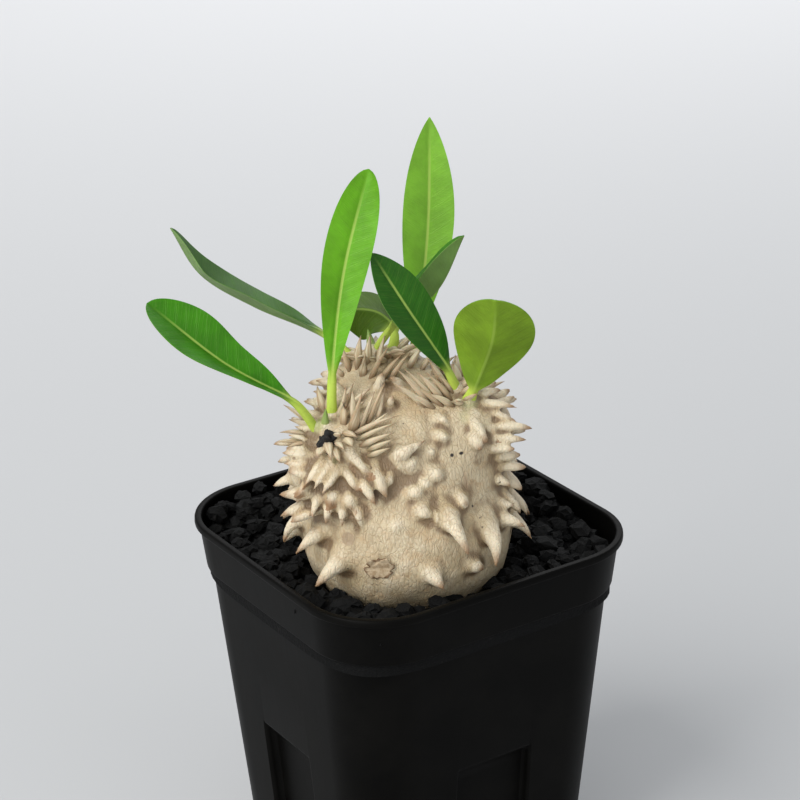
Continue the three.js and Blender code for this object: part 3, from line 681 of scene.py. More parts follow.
# each leaf: midrib's points, half width, where the blade starts, outline powers at base and tip, fold of each
# half in degrees at base and tip, which way the upper side looks at base and tip, quilting between the veins,
# wave of the edge, and the greens of the upper side and the under side
leaves = {
    "leaf_1": dict(
        path=[(-21.5, -20.5, 130), (-26, -21.5, 137), (-43, -21, 148), (-60.5, -17, 162)],
        half=7.3, blade=0.16, base=1.3, tip=0.62, fold=(48, 14), up=((0.55, -0.35, 0.75), (0.4, -0.6, 0.7)),
        quilt=0.035, wave=0.35, upper=(0.034, 0.18, 0.0005), under=(0.17, 0.33, 0.015)),
    "leaf_2": dict(
        path=[(-12.5, 3.5, 138.5), (-19, 7.5, 143), (-37, 13, 149.5), (-50, 16, 157), (-57, 17, 169)],
        half=6.5, blade=0.14, base=1.1, tip=0.7, fold=(35, 20), up=((0.35, 0.1, 0.9), (0.35, 0.1, 0.9)),
        quilt=0.05, wave=0.2, upper=(0.05, 0.13, 0.025), under=(0.15, 0.25, 0.08)),
    "leaf_3": dict(
        path=[(-17.5, -18, 131.5), (-17, -16.5, 143), (-13.7, -11, 166), (-7, -6, 190.5)],
        half=5.9, blade=0.15, base=1.1, tip=0.58, fold=(28, 8), up=((0.1, -0.95, 0.2), (-0.05, -0.95, 0.3)),
        quilt=0.045, wave=0.4, upper=(0.105, 0.315, 0.008), under=(0.2, 0.36, 0.04)),
    "leaf_4": dict(
        path=[(13, -12.5, 136), (9.6, -13, 143.8), (1.2, -12, 157.4), (-7, -9, 170.5)],
        half=6.6, blade=0.14, base=1.1, tip=0.85, fold=(18, 12), up=((0.5, -0.6, 0.6), (0.45, -0.7, 0.5)),
        quilt=0.05, wave=0.1, upper=(0.017, 0.10, 0.002), under=(0.13, 0.25, 0.05)),
    "leaf_5": dict(
        path=[(16, -15.8, 135), (19.3, -19, 144.5), (21.5, -23, 153.5), (22.2, -26.5, 164.3)],
        half=10.2, blade=0.12, base=1.0, tip=0.66, fold=(20, 16), up=((0.1, 0.85, 0.4), (0.2, 0.85, 0.35)),
        quilt=0.05, wave=0.1, upper=(0.06, 0.22, 0.01), under=(0.145, 0.255, 0.012)),
    "leaf_6": dict(
        path=[(2.5, 5, 138), (3.5, 8, 141.5), (7, 18, 166.5), (8, 22, 194.5)],
        half=6.6, blade=0.12, base=1.0, tip=0.85, fold=(16, 10), up=((0, -0.9, 0.4), (0, -0.95, 0.3)),
        quilt=0.02, wave=0.15, upper=(0.17, 0.39, 0.03), under=(0.22, 0.40, 0.06)),
    "leaf_7": dict(
        path=[(-7, 1.5, 140.5), (-2.4, 1.5, 147.2), (8.8, 1, 157.2), (15.5, 2, 170.5)],
        half=7.4, blade=0.2, base=1.0, tip=0.85, fold=(52, 42), up=((-0.8, 0.1, 0.58), (-0.76, 0.2, 0.6)),
        quilt=0.04, wave=0.1, upper=(0.035, 0.15, 0.008), under=(0.14, 0.25, 0.06)),
    # leaf_8 stands in shade: its under side is painted darker than its upper side, as painted shade
    "leaf_8": dict(
        path=[(-2.5, 4.5, 139.5), (-2, 8, 144), (-5.5, 10.5, 147.3), (-10.5, 11.5, 148.2),
              (-15.5, 11, 147.6)],
        half=8.0, blade=0.25, base=1.2, tip=0.6, fold=(30, 40), up=((-0.5, 0.75, -0.4), (-0.1, 0.75, -0.65)),
        quilt=0.04, wave=0.1, upper=(0.04, 0.14, 0.008), under=(0.04, 0.085, 0.002)),
}

buds = {
    "bud_left": dict(at=(-19, -21.6, 130.8), axis=(0.05, -0.1, 0.99), length=5.0, radius=1.2),
    "bud_right": dict(at=(17, -10.5, 134.5), axis=(0.3, 0.2, 0.93), length=4.0, radius=1.2),
    "bud_back": dict(at=(-7.5, 5, 140), axis=(-0.2, 0.3, 0.93), length=5.0, radius=1.4),
}


# stem

stemFacts = {
    "heart": (0, -9, 108),
    "blend": 6.0,
    "scale": 20.0,
    "lobes": [
        ((0, -10.5, 99.5), (26.4, 26.2, 24.5)),
        ((-0.5, -6.5, 120), (20.5, 19.5, 17)),
        ((-15, -17.5, 119.5), (13, 12, 11.5)),
        ((13, -9, 124.5), (12.5, 12, 10.5)),
        ((-5, 0, 130.5), (12.5, 11.5, 9.5)),
    ],
    "mounds": [((-13.5, -21.5, 115.5), (12.0, 11.0, 6.5))],
    "moundGrid": (40, 60),
    "skinGrid": (110, 160),
    "pole": 0.01,
    "reach": 70.0,
    "halvings": 30,
    "root": dict(top=(0, -9, 86), wide=14.0, narrow=3.0, tip=34.0, rows=12, sides=40),
    "below": (-0.35, -0.2, -0.08),  # stations of a spine under the skin, as shares of its length
    "above": 15,
    "sides": 14,
    "sunk": 0.5,
    "swollen": 1.18,
    "voxel": 0.5,
    "melted": (0.55, -0.5, 0.55, -0.5, 0.5, 0.5),
    "fillets": 6,
    "filletShare": 0.6,
    "spineRise": 2.2,
    "held": 0.55,  # how far up its length a spine starts to keep its shape
    "wrinkled": (0.35, 2.5),  # how much a spine is wrinkled, and how fast that sets in up its length
    "swellings": ((0.55, 8, 1), (0.3, 4, 2)),  # height, width and seed
    "folds": (0.10, 1.7, 3),
    "hollowReach": 12,
}
hornFacts = {"round": 0.75, "flareRun": 0.14, "least": 0.05, "upright": (0.1, 0.2, 1.0)}
cushionFacts = dict(deep=-1.2, rows=9, wide=2.1, narrowing=0.75, tall=1.5, sides=16)

# the kinds of spine: widening at the foot, bluntness, flatness, rise off the skin and lean along the length
spineKinds = {
    "comb": {"flare": 0.2, "blunt": 2.3, "flat": 0.85, "lift": 0.16, "lean": 0.4},
    "scale": {"flare": 0.1, "blunt": 1.5, "flat": 0.6, "lift": 0.16, "lean": 0.4},
    "rib": {"flare": 0.3, "blunt": 2.2, "flat": 0.9, "lift": 0.2, "lean": 0.32},
    "knob": {"flare": 1.0, "blunt": 1.7, "flat": 0.95, "lift": 0.45, "lean": 0.1},
    "horn": {"flare": 1.1, "blunt": 1.1, "flat": 0.95, "lift": 0.42, "lean": 0.12},
}
# spines one by one: bearing from the front, height angle from the heart, then how far the point stands right,
# back and up from the foot, and the radius
spines = {
    "comb": [
        # left head, its outer edge
        (-62, 41, -5.3, 0.5, 1.2, 0.9), (-58, 37, -6.7, 0.7, 1.7, 0.9), (-55, 34, -6.7, 0.2, 0.6, 0.9),
        (-53, 32, -8.2, 0.3, 0.6, 1.1), (-52, 28, -7.4, 0.2, 0.4, 1.1), (-50, 24, -6.7, -0.4, 1.2, 1.4),
        (-48, 17, -9.9, -0.4, -0.9, 1.9), (-53, 11, -8.1, -2.6, -3.4, 1.3), (-48, 9, -8.1, -2.6, -3.4, 1.4),
        # the shoulder behind it
        (-100, 58, -5.4, 0.5, 1.2, 1.1), (-91, 56, -5.6, 0.3, 0.8, 1.1), (-80, 52, -6.3, 0.6, 1.5, 1.2),
        (-75, 47, -5.3, 0.3, 0.8, 1.0), (-74, 60, -2.3, 2.0, 4.8, 1.1),
        # right head, its outer edge
        (76, 56, 6.9, 0.6, 1.4, 1.1), (71, 53, 9.7, -1.4, -0.7, 1.1), (69, 48, 7.7, -0.8, -2.0, 1.1),
        (86, 56, 4.9, 1.6, 1.3, 1.0), (67, 42, 10.6, -0.4, -0.9, 1.3), (65, 37, 8.7, -0.4, -0.9, 1.3),
        (63, 33, 6.3, -2.1, 0.2, 1.2), (67, 28, 6.6, -0.1, -0.4, 1.4), (70, 22, 7.8, -0.4, -1.1, 1.4),
        (78, 47, 6.1, 3.2, 1.4, 1.1),
    ],
    "scale": [
        # left head, the fan on its right and the upright group behind it
        (-37, 49, 8.7, 0.4, 3.5, 0.9), (-33, 47, 7.3, -0.6, 3.7, 0.9), (-29, 45, 8.0, 0.1, 2.9, 0.9),
        (-24, 44, 5.6, -2.1, 2.8, 0.9), (-23, 41, 5.3, -1.1, 2.4, 0.9), (-48, 50, 0.9, 2.0, 7.2, 0.8),
        (-40, 50, 2.3, 1.2, 7.8, 1.1), (-36, 53, 3.1, 1.9, 7.0, 0.9), (-33, 57, 3.1, 1.9, 7.0, 0.9),
        (-27, 60, 2.6, 3.2, 7.5, 0.9), (-44, 54, 0.4, 2.6, 6.6, 0.8), (-31, 52, 6.0, 1.0, 5.2, 0.9),
        # back head
        (-112, 69, 1.2, 3.1, 7.2, 0.8), (-118, 73, 0.9, 3.1, 7.2, 0.9), (-116, 78, 2.2, 3.5, 8.1, 0.9),
        (-70, 80, 5.5, 1.4, 5.9, 1.0), (-60, 84, 5.0, 1.2, 5.2, 1.0), (150, 84, 3.8, 2.0, 4.6, 1.0),
        (120, 80, 2.6, 1.8, 4.2, 1.0), (100, 76, 5.0, 1.5, 3.5, 1.2), (-106, 62, -2.4, 1.4, 3.2, 1.0),
        (-111, 65, -1.6, 2.1, 5.0, 0.9), (-85, 76, 3.6, 0.6, 6.4, 0.9), (-95, 72, 0.6, 1.2, 6.0, 0.9),
        # right head, the fan on its left
        (26, 69, -6.9, 0.1, 5.4, 1.1), (33, 70, -5.9, 0.6, 6.5, 1.1), (41, 68, -6.1, 1.7, 6.5, 1.2),
        (50, 67, -5.4, 1.4, 5.9, 1.2), (58, 65, -4.0, 0.9, 4.7, 1.1), (68, 66, -2.8, 1.5, 3.6, 1.0),
        (34, 66, -7.6, -0.2, 4.4, 1.0), (44, 65, -6.4, 0.2, 4.6, 1.0), (52, 62, -5.0, -0.8, 3.4, 1.0),
        (72, 61, 4.8, -0.6, 3.4, 1.0), (66, 58, 3.0, -2.6, 2.8, 0.9), (80, 63, 5.2, 1.6, 3.2, 1.0),
    ],
    "rib": [
        # hanging from the left head's growing point, then from the cleft of the right head
        (-46, 31, -5.2, -4.3, -5.1, 1.1), (-42, 32, -5.0, -4.7, -5.9, 1.1), (-38, 30, -4.5, -4.4, -5.3, 1.2),
        (-50, 23, -4.0, -3.8, -3.8, 1.3), (-33, 38, 4.4, -3.8, -3.7, 1.3), (-34, 31, 2.7, -4.1, -4.6, 1.3),
        (-27, 29, 3.9, -5.5, -5.3, 1.5), (-20, 34, 3.4, -4.7, -5.9, 1.8), (-39, 21, -1.3, -2.8, -4.0, 1.6),
        (-52, 22, -3.5, -2.6, -6.4, 1.0), (-46, 18, -2.5, -2.9, -6.8, 1.0), (-41, 16, -1.5, -2.9, -6.6, 1.0),
        (-35, 15, -0.4, -2.9, -6.0, 1.0), (-28, 15, 0.8, -2.8, -5.2, 1.1),
        (-32, 20, 0.9, -2.7, -3.8, 1.6), (62, 55, 5.2, -3.3, -5.3, 1.2), (57, 49, 3.7, -4.0, -4.4, 1.3),
        (66, 49, 4.2, -2.7, -6.3, 1.2), (53, 43, 1.8, -3.4, -2.8, 1.4),
    ],
    "knob": [
        (-5, 43, 7.3, 0.6, 4.0, 1.4), (3, 38, 1.6, -0.3, 2.4, 1.6), (36, 58, 1.9, -1.5, -0.4, 1.5),
        (31, 50, 2.0, -1.4, -0.1, 1.6), (21, 32, 2.0, -2.1, -0.1, 1.9), (5, 23, 2.2, -1.9, 0.4, 2.0),
        (-2, 39, -1.8, -1.5, -0.3, 1.4), (-11, 31, 1.1, -2.0, -1.4, 1.6), (10, 11, 1.7, -2.2, -0.4, 2.2),
        (34, 14, 2.2, -2.4, -1.0, 2.1), (36, -21, 3.4, -1.2, -1.2, 2.2), (20, 44, 1.2, -1.6, 0.4, 1.5),
        (13, 27, 0.9, -1.9, -0.3, 1.8), (-5, 4, 0.3, -1.6, -0.2, 2.0),
    ],
    "horn": [
        (-50, -6, -7.2, -3.2, -4.8, 2.0), (-36, -17, -7.2, -5.5, -5.1, 2.3), (23, 6, 5.6, -7.3, -6.9, 2.2),
        (47, -6, 2.7, -7.4, -7.2, 2.3), (60, -5, 7.5, -1.9, -2.0, 1.8), (12, -20, 3.3, -4.5, -2.9, 2.1),
        (64, 1, 4.6, -0.2, -0.5, 1.1),
    ],
}
# the rest of the stem, seen from the sides and back: a golden-angle spiral that leaves the front free
wildFacts = {
    "count": 190,
    "lowest": -22,
    "front": 66,
    "frontTop": 66,
    "fromListed": 3.1,
    "fromTip": 4.5,
    "crispWithin": 7.5,
    "sparseBelow": 12,
    "sparseShare": 0.3,
    "oldBelow": 24,
    "oldRun": 30,
    "lean": (0.85, 0.5, 0.45, 0.5),  # off the skin, away from the growing point, at random and downwards
    "length": (4.2, 4.6),
    "radius": (1.0, 0.7),
}
# close round each growing point: where it is, how many, how near and far they stand, lowest rise of the point
collars = [
    dict(apex=(-18.5, -20.5, 130.5), count=34, near=3.2, far=8.0, lowest=-9.0),
    dict(apex=(15, -13, 135.5), count=26, near=3.4, far=7.5, lowest=-1.5),
    dict(apex=(-6.5, 3, 141), count=24, near=3.2, far=7.5, lowest=-9.0),
]
collarFacts = {
    "length": (4.2, 2.6),
    "radius": (0.75, 0.4),
    "outward": 0.85,
    "upward": 0.45,
    "jitter": 0.5,
    "apart": 1.7,
    "seeds": 300,
}
heart = np.array(stemFacts["heart"], float)


def swell(points, facts=stemFacts):
    # positive inside the stem: each lobe is an ellipsoid whose nearness falls off exponentially, summed
    total = np.full(points.shape[:-1], -1.0)
    for centre, radii in facts["lobes"]:
        away = np.linalg.norm((points - np.array(centre)) / np.array(radii), axis=-1)
        total += np.exp(-facts["blend"] * (away - 1) * min(radii) / facts["scale"])
    return total


def skinPoints(directions):
    # the skin's point along each ray from the heart, by halving
    low = np.zeros(directions.shape[:-1])
    high = np.full(directions.shape[:-1], stemFacts["reach"])
    for i in range(stemFacts["halvings"]):
        middle = (low + high) / 2
        inside = swell(heart + directions * middle[..., None]) > 0
        low = np.where(inside, middle, low)
        high = np.where(inside, high, middle)
    return heart + directions * low[..., None]


def skinNormals(points):
    # outward, down the slope of swell
    slope = [swell(points + step) - swell(points - step) for step in np.eye(3) * 0.05]
    return -unit(np.stack(slope, -1))


def bearingDirection(bearing, height):
    b, h = np.radians(bearing), np.radians(height)
    return np.stack([np.sin(b) * np.cos(h), -np.cos(b) * np.cos(h), np.sin(h)], -1)


def apartFrom(points, others):
    # how far each point is from the nearest of the others
    return np.min(np.linalg.norm(points[:, None] - others[None], axis=2), axis=1)


def hornRings(base, offset, lift, radius, flat, profile, stations, sides):
    # many horns at once: flattened circles of the profile's radius carried along the curve
    # base + 2s(1-s)*lift + s^2*offset, which leaves the skin along lift and ends at base + offset
    s = np.asarray(stations)
    rise = np.where(s < 0, 2 * s, 2 * s * (1 - s))[:, None]
    middle = base[:, None] + lift[:, None] * rise + offset[:, None] * (np.maximum(s, 0) ** 2)[:, None]
    along = unit(np.gradient(middle, axis=1))
    side = unit(np.cross(along, offset[:, None] * 0.01 + np.array(hornFacts["upright"])))
    other = np.cross(along, side)
    turn = around(sides)
    wide = radius[:, None, None] * profile[..., None]
    rings = middle[:, :, None] + (wide * np.cos(turn))[..., None] * side[:, :, None]
    rings = rings + (wide * np.sin(turn) * flat)[..., None] * other[:, :, None]
    return [closedTube(r) for r in rings]


def hornProfile(s, flare, blunt, facts=hornFacts):
    # full at the foot with a flare that fades fast, rounding off to the point
    c = np.clip(s, 0, 1)
    body = np.maximum(1 - c ** blunt, 0) ** facts["round"]
    return body + flare * np.exp(-np.maximum(s, -0.05) / facts["flareRun"]) + facts["least"]


def kindRow(kind):
    return np.array(list(spineKinds[kind].values()))


def spineRows():
    # every spine as arrays: foot, offset of the point, radius, the numbers of its kind, and whether it stays
    # crisp or melts into the skin
    rows = np.array([row for listed in spines.values() for row in listed], float)
    kinds = np.array([kindRow(kind) for kind, listed in spines.items() for row in listed])
    crisp = np.array([kind == "scale" for kind, listed in spines.items() for row in listed])
    base = skinPoints(bearingDirection(rows[:, 0], rows[:, 1]))
    wild = wildRows(base, wildFacts)
    collar = collarRows(base, collarFacts)
    base, offset, radius, kinds, crisp = [
        np.concatenate(three) for three in zip((base, rows[:, 2:5], rows[:, 5], kinds, crisp), wild, collar)]
    return base, offset, radius * stemFacts["swollen"], kinds, crisp


def wildRows(taken, facts):
    # a golden-angle spiral over the whole stem, leaving out the front and what stands on a listed spine;
    # old spines low down are longer, thicker and hang
    k = np.arange(facts["count"]) + 0.5
    low = math.sin(math.radians(facts["lowest"]))
    height = np.degrees(np.arcsin(low + (1 - low) * k / facts["count"]))
    bearing = np.degrees(k * goldenAngle) % 360
    bearing = np.where(bearing > 180, bearing - 360, bearing)
    foot = skinPoints(bearingDirection(bearing, height))
    front = (np.abs(bearing) < facts["front"]) & (height < facts["frontTop"])
    sparse = (height < facts["sparseBelow"]) & (draw(k + 0.2) < facts["sparseShare"])
    toApex = foot[:, None] - np.array([collar["apex"] for collar in collars], float)[None]
    nearest = np.linalg.norm(toApex, axis=2)
    away = toApex[np.arange(len(k)), nearest.argmin(1)]
    nearest = nearest.min(1)
    keep = (apartFrom(foot, taken) > facts["fromListed"]) & ~front & ~sparse & (nearest > facts["fromTip"])
    jitter = np.stack([draw(k + 0.3) - 0.5, draw(k + 0.4) - 0.5, draw(k + 0.5) - 0.6], 1)
    old = smooth((facts["oldBelow"] - height) / facts["oldRun"])
    outward, aside, random, down = facts["lean"]
    along = outward * skinNormals(foot) + aside * unit(away) + random * jitter
    along = unit(along + old[:, None] * np.array([0, 0, -down]))
    size = facts["length"][0] + facts["length"][1] * (0.35 * draw(k + 0.6) + 0.65 * old)
    wide = facts["radius"][0] + facts["radius"][1] * (0.4 * draw(k + 0.7) + 0.6 * old)
    kinds = kindRow("comb") + (kindRow("horn") - kindRow("comb")) * old[:, None]
    crisp = nearest < facts["crispWithin"]
    return [values[keep] for values in (foot, along * size[:, None], wide, kinds, crisp)]


def collarRows(taken, facts):
    # a golden-angle spiral on the skin round each growing point, leaving out what stands on a listed spine
    feet, offsets, radii = [], [], []
    for order, collar in enumerate(collars):
        apex = np.array(collar["apex"], float)
        k = np.arange(collar["count"]) + 0.5
        seed = k + facts["seeds"] * (order + 1)
        away = collar["near"] + (collar["far"] - collar["near"]) * np.sqrt(k / collar["count"])
        facing = skinNormals(apex[None])[0]
        side = unit(np.cross([0.0, 0.0, 1.0], facing))
        other = np.cross(facing, side)
        turn = k * goldenAngle
        outward = np.cos(turn)[:, None] * side + np.sin(turn)[:, None] * other
        foot = skinPoints(unit(apex + outward * away[:, None] - heart))
        jitter = np.stack([draw(seed + 0.1), draw(seed + 0.2), draw(seed + 0.3)], 1) - 0.5
        along = facts["outward"] * outward + facts["upward"] * skinNormals(foot)
        along = unit(along + facts["jitter"] * jitter)
        size = facts["length"][0] + facts["length"][1] * draw(seed + 0.4)
        wide = facts["radius"][0] + facts["radius"][1] * draw(seed + 0.5)
        keep = (apartFrom(foot, taken) > facts["apart"]) & (foot[:, 2] - apex[2] > collar["lowest"])
        feet.append(foot[keep])
        offsets.append((along * size[:, None])[keep])
        radii.append(wide[keep])
    feet = np.vstack(feet)
    kinds = np.tile(kindRow("scale"), (len(feet), 1))
    return feet, np.vstack(offsets), np.concatenate(radii), kinds, np.ones(len(feet), bool)


def rootPlug(facts):
    # round rings that narrow evenly from under the stem down into the soil
    top = facts["top"]
    t = around(facts["sides"])
    z = np.linspace(facts["tip"], top[2], facts["rows"])
    width = facts["narrow"] + (facts["wide"] - facts["narrow"]) * (z - facts["tip"]) / (top[2] - facts["tip"])
    ring = np.stack([np.cos(t), np.sin(t), 0 * t], 1)
    middle = np.stack([0 * z + top[0], 0 * z + top[1], z], 1)
    return closedTube(ring[None] * width[:, None, None] + middle[:, None])


def makeStem(facts, everySpine):
    # the smooth-union skin, mounds, spines and root, melted together, filleted between the spines, wrinkled
    directions = sphereGrid(*facts["skinGrid"], facts["pole"])
    parts = [closedTube(skinPoints(directions))]
    for centre, radii in facts["mounds"]:
        parts.append(closedTube(sphereGrid(*facts["moundGrid"], 0.02) * np.array(radii) + np.array(centre)))
    base, offset, radius, kinds = [values[~everySpine[4]] for values in everySpine[:4]]
    flare, blunt, flat, lift, lean = [kinds[:, k:k + 1] for k in range(5)]
    stations = np.concatenate([facts["below"], np.linspace(0, 1, facts["above"])])
    profile = hornProfile(stations[None, :], flare, blunt)
    normal = skinNormals(base)
    sunk = base - normal * facts["sunk"] * radius[:, None]
    rise = normal * lift * np.linalg.norm(offset, axis=1)[:, None] + offset * lean
    parts += hornRings(sunk, offset, rise, radius, flat[:, :, None], profile, stations, facts["sides"])
    parts.append(rootPlug(facts["root"]))
    parts += leafCushions(cushionFacts)
    mesh, edges = fused("caudex", *joined(parts), facts["voxel"], facts["melted"])
    skin = pointsOf(mesh)
    away = skin - heart
    proud = np.linalg.norm(away, axis=1) - np.linalg.norm(skinPoints(unit(away)) - heart, axis=1)
    tip = alongSpines(skin, sunk, offset, radius) * smooth(proud / facts["spineRise"])
    give = (1 - smooth(tip / facts["held"]))[:, None]  # the skin between the spines gives way, points stay
    for i in range(facts["fillets"]):
        skin = eased(skin, edges, facts["filletShare"] * give)
    setPoints(mesh, skin)
    least, pace = facts["wrinkled"]
    wrinkled = least + (1 - least) * (1 - smooth(tip * pace))
    swellings = sum(tall * lumps(skin, wide, seed) for tall, wide, seed in facts["swellings"])
    tall, wide, seed = facts["folds"]
    folds = lumps(skin * np.array([1, 1, 0.4]), wide, seed) * tall
    skin = skin + normalsOf(mesh) * ((swellings + folds) * wrinkled)[:, None]
    setPoints(mesh, skin)
    # how hollow the skin lies at each point: it paints shade in the hollows and a highlight on the ridges
    soft = skin.copy()
    for i in range(facts["hollowReach"]):
        soft = neighbourMean(soft, edges)
    hollow = ((soft - skin) * normalsOf(mesh)).sum(1)
    setPoints(mesh, turned(skin))
    setValues(mesh, "tip", tip)
    setValues(mesh, "hollow", hollow)
    print(len(base), "spines on the stem,", len(mesh.polygons), "faces")
    return place("caudex_skin", mesh, barkPaint(barkLook), "caudex_bark", "caudex")


def leafCushions(facts):
    # a low cone round the foot of every leaf and growing tip, so that they rise out of the skin
    starts = [np.array(leaf["path"][:2], float) for leaf in leaves.values()]
    starts += [np.array([bud["at"], np.add(bud["at"], bud["axis"])], float) for bud in buds.values()]
    base = np.array([pair[0] for pair in starts])
    along = unit(np.array([pair[1] - pair[0] for pair in starts]))
    stations = np.linspace(facts["deep"], 1, facts["rows"])
    profile = np.tile(facts["wide"] - facts["narrowing"] * smooth((stations + 0.3) / 1.3), (len(base), 1))
    rise = along * facts["tall"]
    return hornRings(base, rise, rise / 2, np.ones(len(base)), 1.0, profile, stations, facts["sides"])


scaleFacts = {
    "stations": (-0.15, 0.0, 0.18, 0.38, 0.6, 0.82, 1.0),
    "sides": 8,
    "body": (0.85, 0.35, 0.7),  # width, how much the belly adds, and how low it sits
    "round": 0.85,
    "flareRun": 0.15,
    "least": 0.04,
    "sunk": 0.4,
    "sway": 1.1,
    "length": (1.1, 0.5),
    "radius": (0.8, 0.35),
}
scaleLook = {
    "tan": (0.44, 0.335, 0.20),
    "cream": (0.70, 0.61, 0.44),
    "edge": (0.30, 0.20, 0.11),
    "point": (0.24, 0.14, 0.07),
    # foot: painted shade where each young spine meets the skin
    "foot": (0.20, 0.13, 0.07),
    "green": (0.43, 0.42, 0.24),
    "streaks": (6, 0.8, 1),
    "relief": 0.15,
}


def makeScales(facts, everySpine):
    # young spines round the growing points and on the edges of the heads: flattened, widest a third of the
    # way up
    base, offset, radius, kinds = [values[everySpine[4]] for values in everySpine[:4]]
    flare, blunt, flat, lift, lean = [kinds[:, k:k + 1] for k in range(5)]
    normal = skinNormals(base)
    stations, sides = np.array(facts["stations"]), facts["sides"]
    c = np.clip(stations, 0, 1)[None, :]
    wide, belly, low = facts["body"]
    width = (wide + belly * np.sin(math.pi * c ** low)) * np.maximum(1 - c ** blunt, 0) ** facts["round"]
    width = width + facts["least"] + flare * np.exp(-c / facts["flareRun"])
    seeds = np.arange(len(base))
    sway = np.stack([draw(seeds + 0.15), draw(seeds + 0.25), draw(seeds + 0.45)], 1) - 0.5
    longer = facts["length"][0] + facts["length"][1] * (draw(seeds + 0.35) - 0.5)
    grown = offset * longer[:, None] + sway * facts["sway"]
    radius = radius * (facts["radius"][0] + facts["radius"][1] * draw(seeds + 0.55))
    rise = normal * lift * np.linalg.norm(grown, axis=1)[:, None] + grown * lean
    sunk = base - normal * facts["sunk"]
    parts = hornRings(sunk, grown, rise, radius, flat[:, :, None], width, stations, sides)
    each = len(parts[0][0])
    points, faces = joined(parts)
    mesh = meshOf("scales", turned(points), faces)
    number = np.arange(sides)
    up = np.append(np.repeat(c[0], sides), [0, 1])
    edge = np.append(np.tile(np.abs(np.cos(number * 2 * math.pi / sides)), len(stations)), [0, 0])
    across = np.append(np.tile(np.abs(number - sides / 2) / (sides / 2), len(stations)), [0, 0])
    setValues(mesh, "tip", np.tile(up, len(parts)))
    setValues(mesh, "tone", np.repeat(draw(seeds + 0.6), each))
    setValues(mesh, "edge", np.tile(edge, len(parts)))
    across = np.tile(across, len(parts)) + np.repeat(seeds, each)
    setUv(mesh, np.column_stack([across, np.tile(up, len(parts))]))
    print(len(parts), "young spines round the growing points")
    return place("caudex_scales", mesh, scalePaint(scaleLook), "caudex_bark", "caudex")


def scalePaint(look):
    # cream to tan young spines, streaked along their length, brown at the edges and the point, with dark
    # brown painted shade at the foot
    paint = Paint("spineHorn", Roughness=0.45, Specular_IOR_Level=0.4, Subsurface_Weight=0.1)
    paint.shader.inputs["Subsurface Scale"].default_value = 0.001
    inputs = {"Vector": paint.stretched(paint.surface(), look["streaks"]), "Scale": 1.0, "Detail": 3.0}
    streak = paint.node("ShaderNodeTexNoise", {}, inputs)
    tone, tip = paint.value("tone"), paint.value("tip")
    base = paint.mix(look["tan"], look["cream"], (tone * 0.3 + streak * 0.9).between(0.35, 0.75))
    base = paint.over(
        base,
        (look["edge"], paint.value("edge").between(0.5, 1.0) * 0.6),
        (look["point"], tip.between(0.66, 1.02) * 0.8),
        # painted shade at the foot of each spine
        (look["foot"], (1 - tip.between(0.0, 0.3)) * 0.85),
        (look["green"], (tone - 0.82).between(0, 0.15) * 0.2),
    )
    paint.set("Base Color", base)
    paint.set("Normal", paint.bump(streak + paint.noise(paint.place(), 0.5) * 0.4, look["relief"], 0.8))
    return paint.material


def alongSpines(points, base, offset, radius, narrowing=0.6, margin=0.5, grip=1.4):
    # how far up its nearest spine each point is, 0 off the spines
    best = np.zeros(len(points))
    closest = np.full(len(points), np.inf)
    for b, o, r in zip(base, offset, radius):
        near = np.flatnonzero(np.abs(points - b - o / 2).max(1) < np.abs(o).max() / 2 + r + 5 * margin)
        s = np.clip((points[near] - b) @ o / (o @ o), 0, 1)
        away = np.linalg.norm(points[near] - (b + o * s[:, None]), axis=1)
        wide = r * (1 - narrowing * s) + margin
        hit = (away < wide * grip) & (away / wide < closest[near])
        best[near[hit]] = s[hit]
        closest[near[hit]] = (away / wide)[hit]
    return best


barkLook = {
    "tan": (0.45, 0.355, 0.21),
    "cream": (0.59, 0.50, 0.34),
    "patch": (0.50, 0.36, 0.205),
    # ridge: a painted highlight on the swellings
    "ridge": (0.71, 0.63, 0.475),
    "wrinkle": (0.34, 0.25, 0.15),
    # hollow: painted shade, dark brown, in the hollows between the spines
    "hollow": (0.16, 0.10, 0.05),
    "spine": (0.45, 0.33, 0.20),
    "point": (0.25, 0.13, 0.055),
    "scar": (0.33, 0.24, 0.15),
    "knot": (0.16, 0.095, 0.045),
    "speck": (0.05, 0.035, 0.02),
    "foot": (0.30, 0.24, 0.15),
    "net": (1050, 1050, 380),  # cells of the wrinkles to a metre, long upright ones
    "relief": 0.16,
    "scarSpot": ((-14.2, -32, 105.8), 2.6),
    "knotSpot": ((17.6, -22.7, 122.2), 2.8),
    "footHeight": (0.0865, 0.0915),
}
blackDot = (0.015, 0.01, 0.01)
